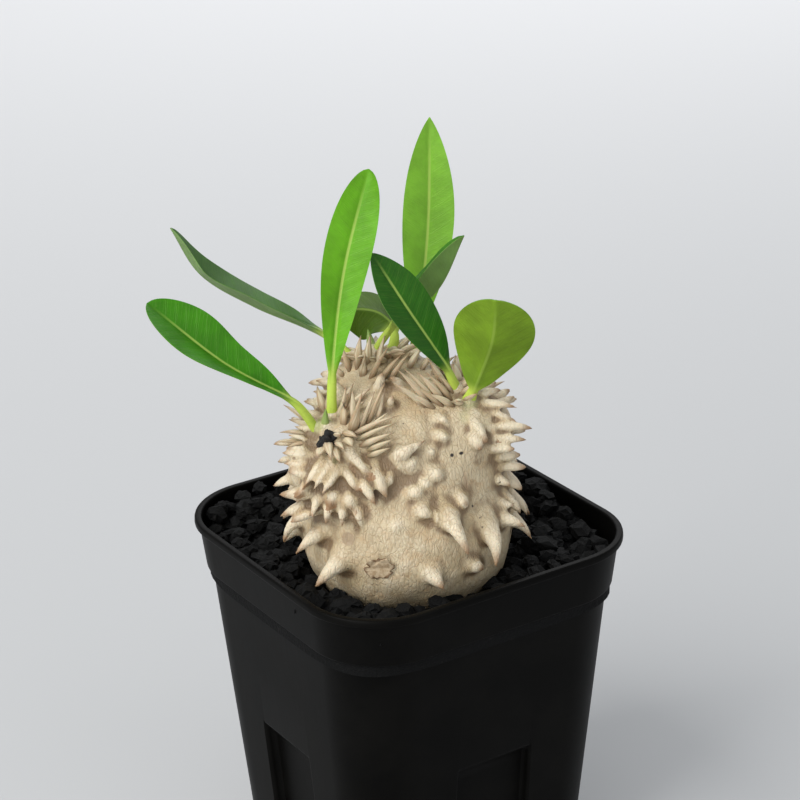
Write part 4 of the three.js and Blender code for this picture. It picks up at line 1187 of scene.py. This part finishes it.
# marks on the bark, some of them painted shade: place, radius, how drawn out upwards, colour and strength
barkMarks = [
    ((-20.5, -20.5, 131.5), 4.2, 1.0, (0.30, 0.32, 0.11), 0.75),  # green sheaths round the growing points
    ((15.5, -16.5, 134), 3.6, 1.0, (0.40, 0.42, 0.20), 0.5),
    ((14.5, -19.5, 130.5), 2.6, 1.8, (0.47, 0.47, 0.27), 0.4),
    ((-6, 3, 140.5), 4.5, 1.0, (0.36, 0.38, 0.16), 0.6),
    # painted shade: dark patches where shadow falls in the crevices
    ((8.8, -16.6, 135.5), 2.4, 0.6, (0.09, 0.05, 0.03), 0.8),  # crevices
    ((-7.4, -31.5, 116.3), 1.3, 2.6, (0.12, 0.065, 0.03), 0.8),
    ((-16.8, -29.1, 124.1), 1.2, 3.0, (0.10, 0.10, 0.03), 0.7),
    ((-12.7, -29.9, 123), 1.6, 2.0, (0.30, 0.19, 0.10), 0.6),
    ((14.6, -25.8, 118.2), 1.1, 5.5, (0.33, 0.22, 0.13), 0.55),  # a line down the right side
    # painted shadow: a dark level band under the ledge below the left head
    ((-14, -31.5, 111.4), 6.0, 0.09, (0.28, 0.19, 0.11), 0.7),  # a level ledge below the left head
    ((11.3, -25.2, 124.2), 0.7, 1.0, blackDot, 1.0),
    ((13.5, -24.3, 124.3), 0.9, 0.7, blackDot, 1.0),
    ((13.2, -29.6, 111.9), 0.6, 1.0, blackDot, 1.0),
    ((16.2, -27.6, 111.7), 0.6, 1.0, blackDot, 1.0),
]


def barkPaint(look):
    # cream bark over tan, a net of fine upright wrinkles, painted brown shade in the hollows and a painted
    # highlight on the ridges, horn-coloured spine points
    paint = Paint("caudexBark", Roughness=0.5, Specular_IOR_Level=0.45, Subsurface_Weight=0.12)
    paint.shader.inputs["Subsurface Scale"].default_value = 0.0015
    paint.shader.inputs["Subsurface Radius"].default_value = (1.0, 0.6, 0.35)
    spot = paint.place()
    broad = paint.noise(spot, 11, 3, 0.55)
    patchy = paint.noise(spot, 3.2, 3, 0.6)
    fine = paint.noise(spot, 0.6, 3, 0.65)
    bent = paint.warped(spot, 3.0, 1.6)
    net = paint.cells(paint.stretched(bent, look["net"]))
    upright = paint.noise(paint.stretched(bent, (1, 1, 0.36)), 1.15, 1.5, 0.5)
    level = paint.noise(paint.stretched(bent, (0.45, 0.45, 1.2)), 1.7, 1.5, 0.5)
    lines = (1 - net.between(0.0, 0.16)) * 0.75 + upright.lineAt(0.5, 0.09) * 0.45
    rungs = level.lineAt(0.5, 0.05)
    flecks = patchy.between(0.35, 0.6)
    height, tip = paint.value("hollow"), paint.value("tip")
    base = paint.over(
        paint.mix(look["tan"], look["cream"], broad.between(0.3, 0.65)),
        (look["patch"], patchy.between(0.48, 0.68) * 0.7),
        # painted highlight on the ridges
        (look["ridge"], (height * -1).between(0.02, 0.22) * 0.75),
        (look["wrinkle"], (lines * 0.42 + rungs * 0.14) * (1 - tip.between(0.1, 0.5))),
        # painted shade in the hollows
        (look["hollow"], height.between(0.0, 0.16) * 0.85),
        (look["spine"], tip.between(0.35, 0.9) * flecks * 0.5),
        (look["point"], tip.between(0.6, 0.95) * 0.85),
        (look["scar"], paint.near(spot, *look["scarSpot"]).between(0.25, 0.45) * 0.8),
        (look["knot"], paint.near(spot, *look["knotSpot"]).between(0.2, 0.7) * flecks * 0.8),
        (look["speck"], paint.noise(spot, 1.3, 1, 0.4).between(0.775, 0.8) * 0.7),
    )
    for at, radius, tall, tint, share in barkMarks:
        mark = paint.near(spot, at, radius, tall) + (patchy - 0.5) * 0.5
        base = paint.mix(base, tint, mark.between(0.15, 0.6) * share)
    foot = 1 - paint.axis(spot, 2).between(*look["footHeight"])
    paint.set("Base Color", paint.mix(base, look["foot"], foot * patchy.between(0.3, 0.6) * 0.8))
    paint.set("Roughness", 0.34 + patchy * 0.25)
    paint.set("Normal", paint.bump(1 - lines * 0.7 - rungs * 0.2 + fine * 0.35, look["relief"], 0.9))
    return paint.material


# a flake of dead bark low on the front; its bearing, height, width and tallness are degrees from the heart
flakeFacts = {
    "bearing": -14,
    "height": -16.5,
    "wide": 6.5,
    "tall": 5.0,
    "rows": 26,
    "columns": 30,
    "thick": 0.3,
    "proud": 0.45,
    "lift": 1.3,
    "ragged": 0.5,
    "tear": (1.1, 8),
}
flakeLook = {
    "cream": (0.52, 0.41, 0.27),
    "tan": (0.36, 0.25, 0.14),
    "edge": (0.17, 0.10, 0.05),
    "relief": 0.2,
}


def makeFlake(facts):
    # a patch of the skin a little proud of it: v runs up it and curls it off, and noise tears its edges
    v = np.linspace(-1, 1, facts["rows"])[:, None]
    u = np.linspace(-1, 1, facts["columns"])[None, :]
    patch = np.stack([3 * u + 0 * v, 4 * v + 0 * u, 0 * u + 0 * v], -1)
    torn = facts["ragged"] * lumps(patch, *facts["tear"])
    bearing = facts["bearing"] + facts["wide"] * u * (1 + 0.5 * torn * np.abs(u)) * (1 - 0.35 * v ** 2)
    height = facts["height"] + facts["tall"] * (v + 0.5 * torn * np.abs(v) + 0.15 * u)
    skin = skinPoints(bearingDirection(bearing, height))
    normals = skinNormals(skin)
    curl = smooth((v + 0.1) / 1.1) * (0.6 + 0.8 * torn) + 0.12 * np.abs(u) ** 3
    upper = skin + normals * (facts["proud"] + facts["lift"] * curl)[..., None]
    under = upper - normals * facts["thick"]
    points, faces = closedTube(np.concatenate([under, upper[:, ::-1]], 1))
    mesh = meshOf("flake", turned(points), faces)
    edge = np.maximum(np.abs(u) + 0 * v, np.abs(v) + 0 * u)
    setValues(mesh, "edge", np.append(np.concatenate([edge, edge[:, ::-1]], 1).ravel(), [1, 1]))
    return place("caudex_flake", mesh, flakePaint(flakeLook), "caudex_bark", "caudex")


def flakePaint(look):
    # dry mottled bark with dark torn edges
    paint = Paint("deadBark", Roughness=0.7)
    mottle = paint.noise(paint.place(), 1.2, 4, 0.7)
    torn = (paint.value("edge") + (mottle - 0.5) * 0.6).between(0.75, 1.0)
    base = paint.mix(look["cream"], look["tan"], mottle.between(0.4, 0.65))
    paint.set("Base Color", paint.mix(base, look["edge"], torn))
    paint.set("Normal", paint.bump(mottle, look["relief"], 0.8))
    return paint.material


stemSpines = spineRows()
makeStem(stemFacts, stemSpines)
makeScales(scaleFacts, stemSpines)
makeFlake(flakeFacts)
print("stem and spines have grown")


# leaves

leafLook = {
    "vein": (0.36, 0.50, 0.08),
    "rib": (0.36, 0.50, 0.10),
    "stalk": (0.47, 0.60, 0.09),
    "shades": (0.85, 1.12),  # how dark and how pale the clouded green gets
    "cloudSize": 7,
    "grainSize": 0.7,
    "specular": 0.22,
    "relief": 0.10,
}


def leafHalf(leaf, s, facts):
    # t^a (1-t)^b over the blade, never narrower than the stalk where it joins it
    t = np.clip((s - leaf["blade"]) / (1 - leaf["blade"]), 0, 1)
    a, b = leaf["base"], leaf["tip"]
    widest = a / (a + b)
    blade = leaf["half"] * (t ** a * (1 - t) ** b) / (widest ** a * (1 - widest) ** b)
    stalk = facts["stalkHalf"] * (1 - smooth(t / facts["shoulder"]))
    return np.maximum(np.maximum(blade, stalk), facts["tipHalf"])


def makeLeaf(name, leaf, facts):
    # a folded strip carried along the midrib; upper side and under side share their edges. Across it t runs
    # from -1 to 1. The side veins leave the midrib towards the tip, and the blade is quilted between them
    knots = np.array(leaf["path"], float)
    inward = unit(knots[0] - knots[1])
    knots = np.vstack([knots[0] + inward * facts["socket"], knots])
    rows, columns = facts["rows"], facts["columns"]
    middle, length = curveThrough(knots, rows)
    s = np.linspace(0, 1, rows)[:, None]
    along = unit(np.gradient(middle, axis=0))
    up = np.array(leaf["up"][0]) * (1 - s) + np.array(leaf["up"][1]) * s
    side = unit(np.cross(along, up))
    above = unit(np.cross(side, along))
    swell, swellRun = facts["footSwell"]
    half = leafHalf(leaf, s, facts) + swell * np.exp(-np.maximum(s * length - facts["socket"], 0) / swellRun)
    stalk = 1 - smooth((s - leaf["blade"] * 0.8) / facts["stalkFade"])
    flat = 1 - stalk
    fold = np.radians(leaf["fold"][0] + (leaf["fold"][1] - leaf["fold"][0]) * s) * flat
    t = np.sin(np.linspace(-1, 1, columns + 1) * math.pi / 2)[None, :]
    edge = np.abs(t)
    bladeThick = facts["thick"] + (facts["edge"] - facts["thick"]) * edge
    roundThick = facts["stalkThick"] * np.sqrt(np.maximum(0.02, 1 - edge ** 2))
    thick = bladeThick + (roundThick - bladeThick) * stalk
    ribTall, ribWide = facts["rib"]
    rib = (ribTall * np.exp(-(t * half / ribWide) ** 2)) * (1 - s) * flat
    deep, wide = facts["groove"]
    groove = -deep * np.exp(-(t * half / wide) ** 2) * flat * (1 - 0.6 * s)
    vein = s * length / facts["veinPitch"] - edge * half / facts["veinLean"]
    quilt = np.sin(2 * math.pi * vein) * edge * (1 - edge) * 4 * leaf["quilt"] * flat * smooth((1 - s) * 6)
    turns, apart = facts["waves"]
    wave = np.sin(s * turns + np.sign(t) * apart) * edge ** 2 * leaf["wave"] * flat
    out = half * t * np.cos(fold)
    roundRun, roundFrom = facts["foldRound"]
    lift = half * edge * np.sin(fold) * smooth(edge * half / roundRun + roundFrom) + wave + quilt

    def face(height):
        return middle[:, None] + side[:, None] * out[..., None] + above[:, None] * (lift + height)[..., None]

    upper = face(thick / 2 + groove)
    under = face(-thick / 2 - rib)
    points, faces = closedTube(np.concatenate([under, upper[:, ::-1]], 1))
    across = 2 * (columns + 1)
    v = np.repeat(s, across, 1).ravel()
    u = np.tile(np.concatenate([t[0], t[0, ::-1]]) / 2 + 0.5, rows)
    upperSide = np.tile(np.repeat([0, 1], columns + 1), rows)
    mesh = meshOf(name, turned(points), faces)
    setUv(mesh, np.column_stack([np.append(u, [0.5, 0.5]), np.append(v, [0, 1])]))
    setValues(mesh, "upper", np.append(upperSide, [1, 1]))
    setValues(mesh, "width", np.append(np.repeat(half, across, 1).ravel(), [1, 1]))
    return place(name + "_blade", mesh, leafPaint(name, leaf, length, facts, leafLook), "leaf_green", name)


def leafPaint(name, leaf, length, facts, look):
    # green with paler midrib and side veins that run from the midrib towards the tip, paler beneath
    paint = Paint(name + "Green", Roughness=0.42, Specular_IOR_Level=look["specular"], Subsurface_Weight=0.08)
    paint.shader.inputs["Subsurface Scale"].default_value = 0.001
    paint.shader.inputs["Subsurface Radius"].default_value = (0.6, 1.0, 0.2)
    spot, uv = paint.place(), paint.surface()
    across, along = paint.axis(uv, 0), paint.axis(uv, 1)
    upper = paint.value("upper").between(0.4, 0.6)
    t = ((across - 0.5) * 2).size()
    reach = t * paint.value("width")
    cloud = paint.noise(spot, look["cloudSize"], 3, 0.6)
    fine = paint.noise(spot, look["grainSize"], 2, 0.6)

    def veins(pitch, lean, stray, width):
        lane = along * (length / pitch) - reach / lean + (cloud - 0.5) * stray
        return lane.fraction().lineAt(0.5, width)

    sideVein = veins(facts["veinPitch"], facts["veinLean"], 0.25, 0.07)
    sideVein = sideVein * (1 - t.between(0.75, 1.0)) * t.between(0.02, 0.1)
    smallVein = veins(facts["smallPitch"], facts["smallLean"], 0.4, 0.16) * t.between(0.05, 0.2)
    rib = 1 - reach.between(0.15, 0.5)
    stalk = 1 - along.between(leaf["blade"], leaf["blade"] * 1.9)
    greens = []
    for tint in (leaf["under"], leaf["upper"]):
        dark, pale = [tuple(np.array(tint) * shade) for shade in look["shades"]]
        greens.append(paint.mix(dark, pale, cloud.between(0.3, 0.7)))
    green = paint.mix(*greens, upper)
    green = paint.mix(green, paint.mix(green, look["vein"], 0.75), smallVein * 0.04 + sideVein * 0.06)
    green = paint.over(
        green,
        (look["rib"], rib * (0.3 + upper * 0.45) * (1 - along.between(0.7, 1.0))),
        (look["stalk"], stalk * 0.9),
    )
    paint.set("Base Color", green)
    paint.set("Roughness", 0.38 + fine * 0.12 + (1 - upper) * 0.14)
    paint.set("Normal", paint.bump(smallVein * -0.4 + sideVein * -0.6 + fine * 0.35, look["relief"], 0.6))
    return paint.material


for leafName, leafValues in leaves.items():
    makeLeaf(leafName, leafValues, leafFacts)
print("leaves are out")


# growing tips and the cut stub

budFacts = {"socket": 2.4, "rows": 26, "sides": 36, "round": 0.8, "thinning": 0.35, "ridge": 0.12}
budLook = {
    "low": (0.30, 0.33, 0.12),
    "high": (0.17, 0.27, 0.05),
    "streak": (0.50, 0.50, 0.26),
    "relief": 0.1,
}
stubFacts = {
    "at": (-18.5, -25, 128),
    "axis": (-0.28, -0.62, 0.73),
    "length": 4.5,
    "radius": 2.4,
    "grid": (60, 80),
    "crumbs": ((0.42, 1.9, 5), (0.34, 0.9, 6), (0.2, 0.5, 7)),  # height, width and seed
}
stubLook = {"char": (0.004, 0.004, 0.004), "brown": (0.09, 0.06, 0.035), "relief": 0.3}


def makeBud(name, bud, facts, material):
    # a spindle of three folded young leaves: a horn profile whose radius is ridged three times round
    axis = unit(np.array(bud["axis"], float))
    base = np.array(bud["at"], float) - axis * facts["socket"]
    length = bud["length"] + facts["socket"]
    side, other = crossAxes(axis)
    s = np.linspace(0, 1, facts["rows"])[:, None]
    a = around(facts["sides"])[None, :]
    body = np.sin(math.pi * np.clip(s * 0.78 + 0.2, 0, 1)) ** facts["round"]
    profile = bud["radius"] * body * (1 - facts["thinning"] * s)
    wide = profile * (1 + facts["ridge"] * np.abs(np.sin(1.5 * a + 2.2 * s)) - facts["ridge"] / 2)
    rings = base + axis * (length * s)[..., None]
    rings = rings + side * (wide * np.cos(a))[..., None] + other * (wide * np.sin(a))[..., None]
    points, faces = closedTube(rings)
    mesh = meshOf(name, turned(points), faces)
    setValues(mesh, "tip", np.append(np.repeat(s, facts["sides"], 1).ravel(), [0, 1]))
    return place(name + "_tip", mesh, material, "bud_green", name)


def budPaint(look):
    # yellow-green living tissue, fresher towards the point
    paint = Paint("budGreen", Roughness=0.45, Subsurface_Weight=0.15, Subsurface_Scale=0.001)
    streak = paint.noise(paint.stretched(paint.place(), (1, 1, 0.3)), 0.7, 3)
    base = paint.mix(look["low"], look["high"], paint.value("tip").between(0.2, 0.9))
    paint.set("Base Color", paint.mix(base, look["streak"], streak.between(0.5, 0.8) * 0.5))
    paint.set("Normal", paint.bump(streak, look["relief"], 0.6))
    return paint.material


def makeStub(facts):
    # a short dry plug, its skin broken into crumbs by three sizes of noise
    axis = unit(np.array(facts["axis"], float))
    side, other = crossAxes(axis)
    globe = sphereGrid(*facts["grid"], 0.03)
    rings = side * (globe[..., 0:1] * facts["radius"]) + other * (globe[..., 1:2] * facts["radius"])
    rings = rings + axis * (globe[..., 2:3] * facts["length"] / 2)
    rough = 1 + sum(tall * lumps(rings, wide, seed) for tall, wide, seed in facts["crumbs"])
    points, faces = closedTube(rings * rough[..., None] + np.array(facts["at"]))
    return place("cut_stub", meshOf("stub", turned(points), faces), stubPaint(stubLook), "dry_stub", "stub")


def stubPaint(look):
    # charred black with brown crumbs
    paint = Paint("dryStub", Roughness=0.85)
    crumbs = paint.noise(paint.place(), 0.7, 4, 0.7)
    paint.set("Base Color", paint.mix(look["char"], look["brown"], crumbs.between(0.55, 0.75)))
    paint.set("Normal", paint.bump(crumbs, look["relief"], 0.8))
    return paint.material


budGreen = budPaint(budLook)
for budName, budValues in buds.items():
    makeBud(budName, budValues, budFacts, budGreen)
makeStub(stubFacts)
print("growing tips and stub are in")


# gravel and soil

gravelFacts = {
    "bed": 87.4,
    "bottom": 78.4,
    "opening": 84.6,
    "corner": 17.5,
    "pitch": 5.0,
    "widerBelow": 1.12,
    "stray": 0.75,
    "size": 3.0,
    "sizes": (0.72, 0.62, 1.5),
    "above": 2.6,
    "drops": (0.9, 2.6, 4.4),
    "upDown": 0.8,
    "wallGap": 0.62,
    "stemGap": 0.42,
    "heapStart": 24.0,
    "heapRun": 20.0,
    "heapFront": 0.6,
    "heapBack": 5.0,
    "rough": ((0.12, 1.3, 8), (0.06, 0.6, 9)),  # height, width and seed
}
bedFacts = {"rows": 50, "sides": 120, "power": 5, "below": 1.2, "bumps": (0.5, 2.5, 4)}
stoneFacts = {
    "planes": 11,
    "step": 17.0,
    "depth": (0.55, 0.5),
    "reach": 1.15,
    "stretch": ((0.85, 0.45), (0.75, 0.3), (0.6, 0.3)),  # least and extra along, across and up
    "lean": 0.9,
}
gravelLook = {
    "dark": (0.0025, 0.0026, 0.0027),
    "grey": (0.009, 0.0094, 0.0096),
    "dust": (0.035, 0.032, 0.029),
    "pits": (1100, 1100, 1100),
    "specular": 0.12,
    "relief": 0.22,
}
soilLook = {"dark": (0.012, 0.009, 0.006), "brown": (0.05, 0.036, 0.024), "relief": 0.5}


def heapAt(x, y, facts):
    # the dressing rises towards the pot's wall, most behind the plant
    back = y * math.cos(plantTurn) - x * math.sin(plantTurn)
    behind = smooth(back / facts["heapRun"])
    outward = smooth((np.hypot(x, y) - facts["heapStart"]) / facts["heapRun"])
    return outward * (facts["heapFront"] + (facts["heapBack"] - facts["heapFront"]) * behind)


def insideSquare(x, y, side, corner, margin):
    # how far inside a square with round corners a point is, minus the margin
    half = side / 2 - corner
    dx, dy = np.maximum(np.abs(x) - half, 0), np.maximum(np.abs(y) - half, 0)
    return corner - np.hypot(dx, dy) - margin


def seedBall():
    # a 20-sided ball with a point raised on each side: 60 faces
    build = bmesh.new()
    bmesh.ops.create_icosphere(build, subdivisions=1, radius=1.0)
    bmesh.ops.poke(build, faces=build.faces[:])
    points = unit(np.array([v.co[:] for v in build.verts]))
    faces = np.array([[v.index for v in f.verts] for f in build.faces])
    build.free()
    return points, np.column_stack([faces, faces[:, 2]])


def spun(x, y, angle):
    # two coordinates of every point turned by each stone's own angle
    c, s = np.cos(angle)[:, None], np.sin(angle)[:, None]
    return x * c - y * s, x * s + y * c


def stones(centres, sizes, seeds, facts):
    # each stone is a ball cut by random planes: along each direction the reach is the nearest plane's
    ballPoints, ballFaces = seedBall()
    index = seeds[:, None] * facts["step"] + np.arange(facts["planes"])[None, :]
    z = 2 * draw(index) - 1
    a = 2 * math.pi * draw(index + 0.37)
    flat = np.sqrt(1 - z ** 2)
    normals = np.stack([flat * np.cos(a), flat * np.sin(a), z], -1)
    depth = facts["depth"][0] + facts["depth"][1] * draw(index + 0.71)
    facing = np.einsum("npk,vk->nvp", normals, ballPoints)
    reach = np.min(np.where(facing > 0.05, depth[:, None, :] / np.maximum(facing, 0.05), 9), axis=-1)
    reach = np.minimum(reach, facts["reach"])
    stretch = []
    for k, (least, extra) in enumerate(facts["stretch"]):
        stretch.append(least + extra * draw(seeds + 0.1 * (k + 1)))
    shape = ballPoints[None] * reach[..., None] * np.stack(stretch, 1)[:, None] * sizes[:, None, None]
    y, z = spun(shape[..., 1], shape[..., 2], facts["lean"] * (draw(seeds + 0.5) - 0.5))
    x, y = spun(shape[..., 0], y, 2 * math.pi * draw(seeds + 0.4))
    shape = np.stack([x, y, z], -1) + centres[:, None]
    faces = ballFaces[None] + (np.arange(len(centres)) * len(ballPoints))[:, None, None]
    return shape.reshape(-1, 3), faces.reshape(-1, 4), len(ballPoints)


def gravelBed(facts, bed):
    # a dark floor under the stones: a rounded square of this power, its top following the heap
    u = around(bed["sides"])[None, :]
    r = np.linspace(0.02, 1, bed["rows"])[:, None]
    power = (np.abs(np.cos(u)) ** bed["power"] + np.abs(np.sin(u)) ** bed["power"]) ** (-1 / bed["power"])
    half = facts["opening"] / 2
    x, y = half * r * power * np.cos(u), half * r * power * np.sin(u)
    tall, wide, seed = bed["bumps"]
    top = facts["bed"] - bed["below"] + heapAt(x, y, facts)
    top = top + tall * lumps(np.stack([x, y, 0 * x], -1), wide, seed)
    under = np.stack([x, y, 0 * x + facts["bottom"]], -1)
    return closedTube(np.concatenate([under, np.stack([x, y, top], -1)[::-1]]))


def makeGravel(facts):
    # loose-looking stones in layers on a dark bed, kept off the stem and inside the pot
    layers = []
    for layer, drop in enumerate(facts["drops"]):
        pitch = facts["pitch"] * (1 if layer else facts["widerBelow"])
        count = int(facts["opening"] / pitch) + 2
        i, j = [g.ravel() for g in np.meshgrid(np.arange(count), np.arange(count), indexing="ij")]
        seed = 1000.0 * layer + 41 * i + j + 3
        x = (i - (count - 1) / 2 + 0.5 * (j % 2) - 0.25 + facts["stray"] * (draw(seed) - 0.5)) * pitch
        y = (j - (count - 1) / 2 + facts["stray"] * (draw(seed + 0.5) - 0.5)) * pitch
        least, extra, power = facts["sizes"]
        size = facts["size"] * (least + extra * draw(seed + 0.25) ** power)
        level = facts["bed"] + facts["above"] - drop
        z = level + heapAt(x, y, facts) + facts["upDown"] * (draw(seed + 0.75) - 0.5)
        room = insideSquare(x, y, facts["opening"], facts["corner"], size * facts["wallGap"])
        own = turned(np.column_stack([x, y, z]), -plantTurn)
        clear = swell(own - np.array([0, 0, 1.0]))
        away = own - heart
        gap = np.linalg.norm(away, axis=1) - np.linalg.norm(skinPoints(unit(away)) - heart, axis=1)
        keep = (room > 0) & (gap > size * facts["stemGap"]) & (clear < 0)
        layers.append(np.column_stack([x, y, z, size, seed])[keep])
    laid = np.vstack(layers)
    centres, sizes, seeds = laid[:, :3], laid[:, 3], laid[:, 4]
    points, faces, each = stones(centres, sizes, seeds, stoneFacts)
    rough = sum(tall * lumps(points, wide, seed) for tall, wide, seed in facts["rough"])
    points = points + unit(points - np.repeat(centres, each, 0)) * rough[:, None]
    bed = gravelBed(facts, bedFacts)
    mesh = meshOf("gravel", *joined([(points, faces), bed]))
    setValues(mesh, "tone", np.append(np.repeat(draw(seeds + 0.9), each), np.zeros(len(bed[0]))))
    print(len(centres), "stones")
    return place("gravel_stones", mesh, gravelPaint(gravelLook), "lava_gravel", "gravel", soft=False)


def gravelPaint(look):
    # charcoal lava: each stone its own grey, pitted, with a faint dusty bloom
    paint = Paint("lavaStone", Roughness=0.8, Specular_IOR_Level=look["specular"])
    spot = paint.place()
    grit = paint.noise(spot, 0.45, 4, 0.7)
    pits = paint.cells(paint.stretched(paint.warped(spot, 1.0, 0.4), look["pits"]), "F1")
    dust = paint.noise(spot, 2.4, 4, 0.7).between(0.6, 0.75)
    base = paint.mix(look["dark"], look["grey"], (paint.value("tone") * 0.7 + grit * 0.5).between(0.3, 1.0))
    paint.set("Base Color", paint.mix(base, look["dust"], dust * 0.3))
    paint.set("Roughness", 0.62 + grit * 0.3)
    paint.set("Normal", paint.bump(grit + pits * 0.8, look["relief"], 0.8))
    return paint.material


def paintSoil(look):
    # dark brown crumbs on the soil's own mesh
    paint = Paint("pottingSoil", Roughness=0.95)
    crumbs = paint.noise(paint.place(), 1.6, 4, 0.7)
    paint.set("Base Color", paint.mix(look["dark"], look["brown"], crumbs.between(0.35, 0.7)))
    paint.set("Normal", paint.bump(crumbs, look["relief"], 0.8))
    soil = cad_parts["substrate"]
    soil.data.materials.clear()
    soil.data.materials.append(paint.material)


makeGravel(gravelFacts)
paintSoil(soilLook)
print("gravel is laid")
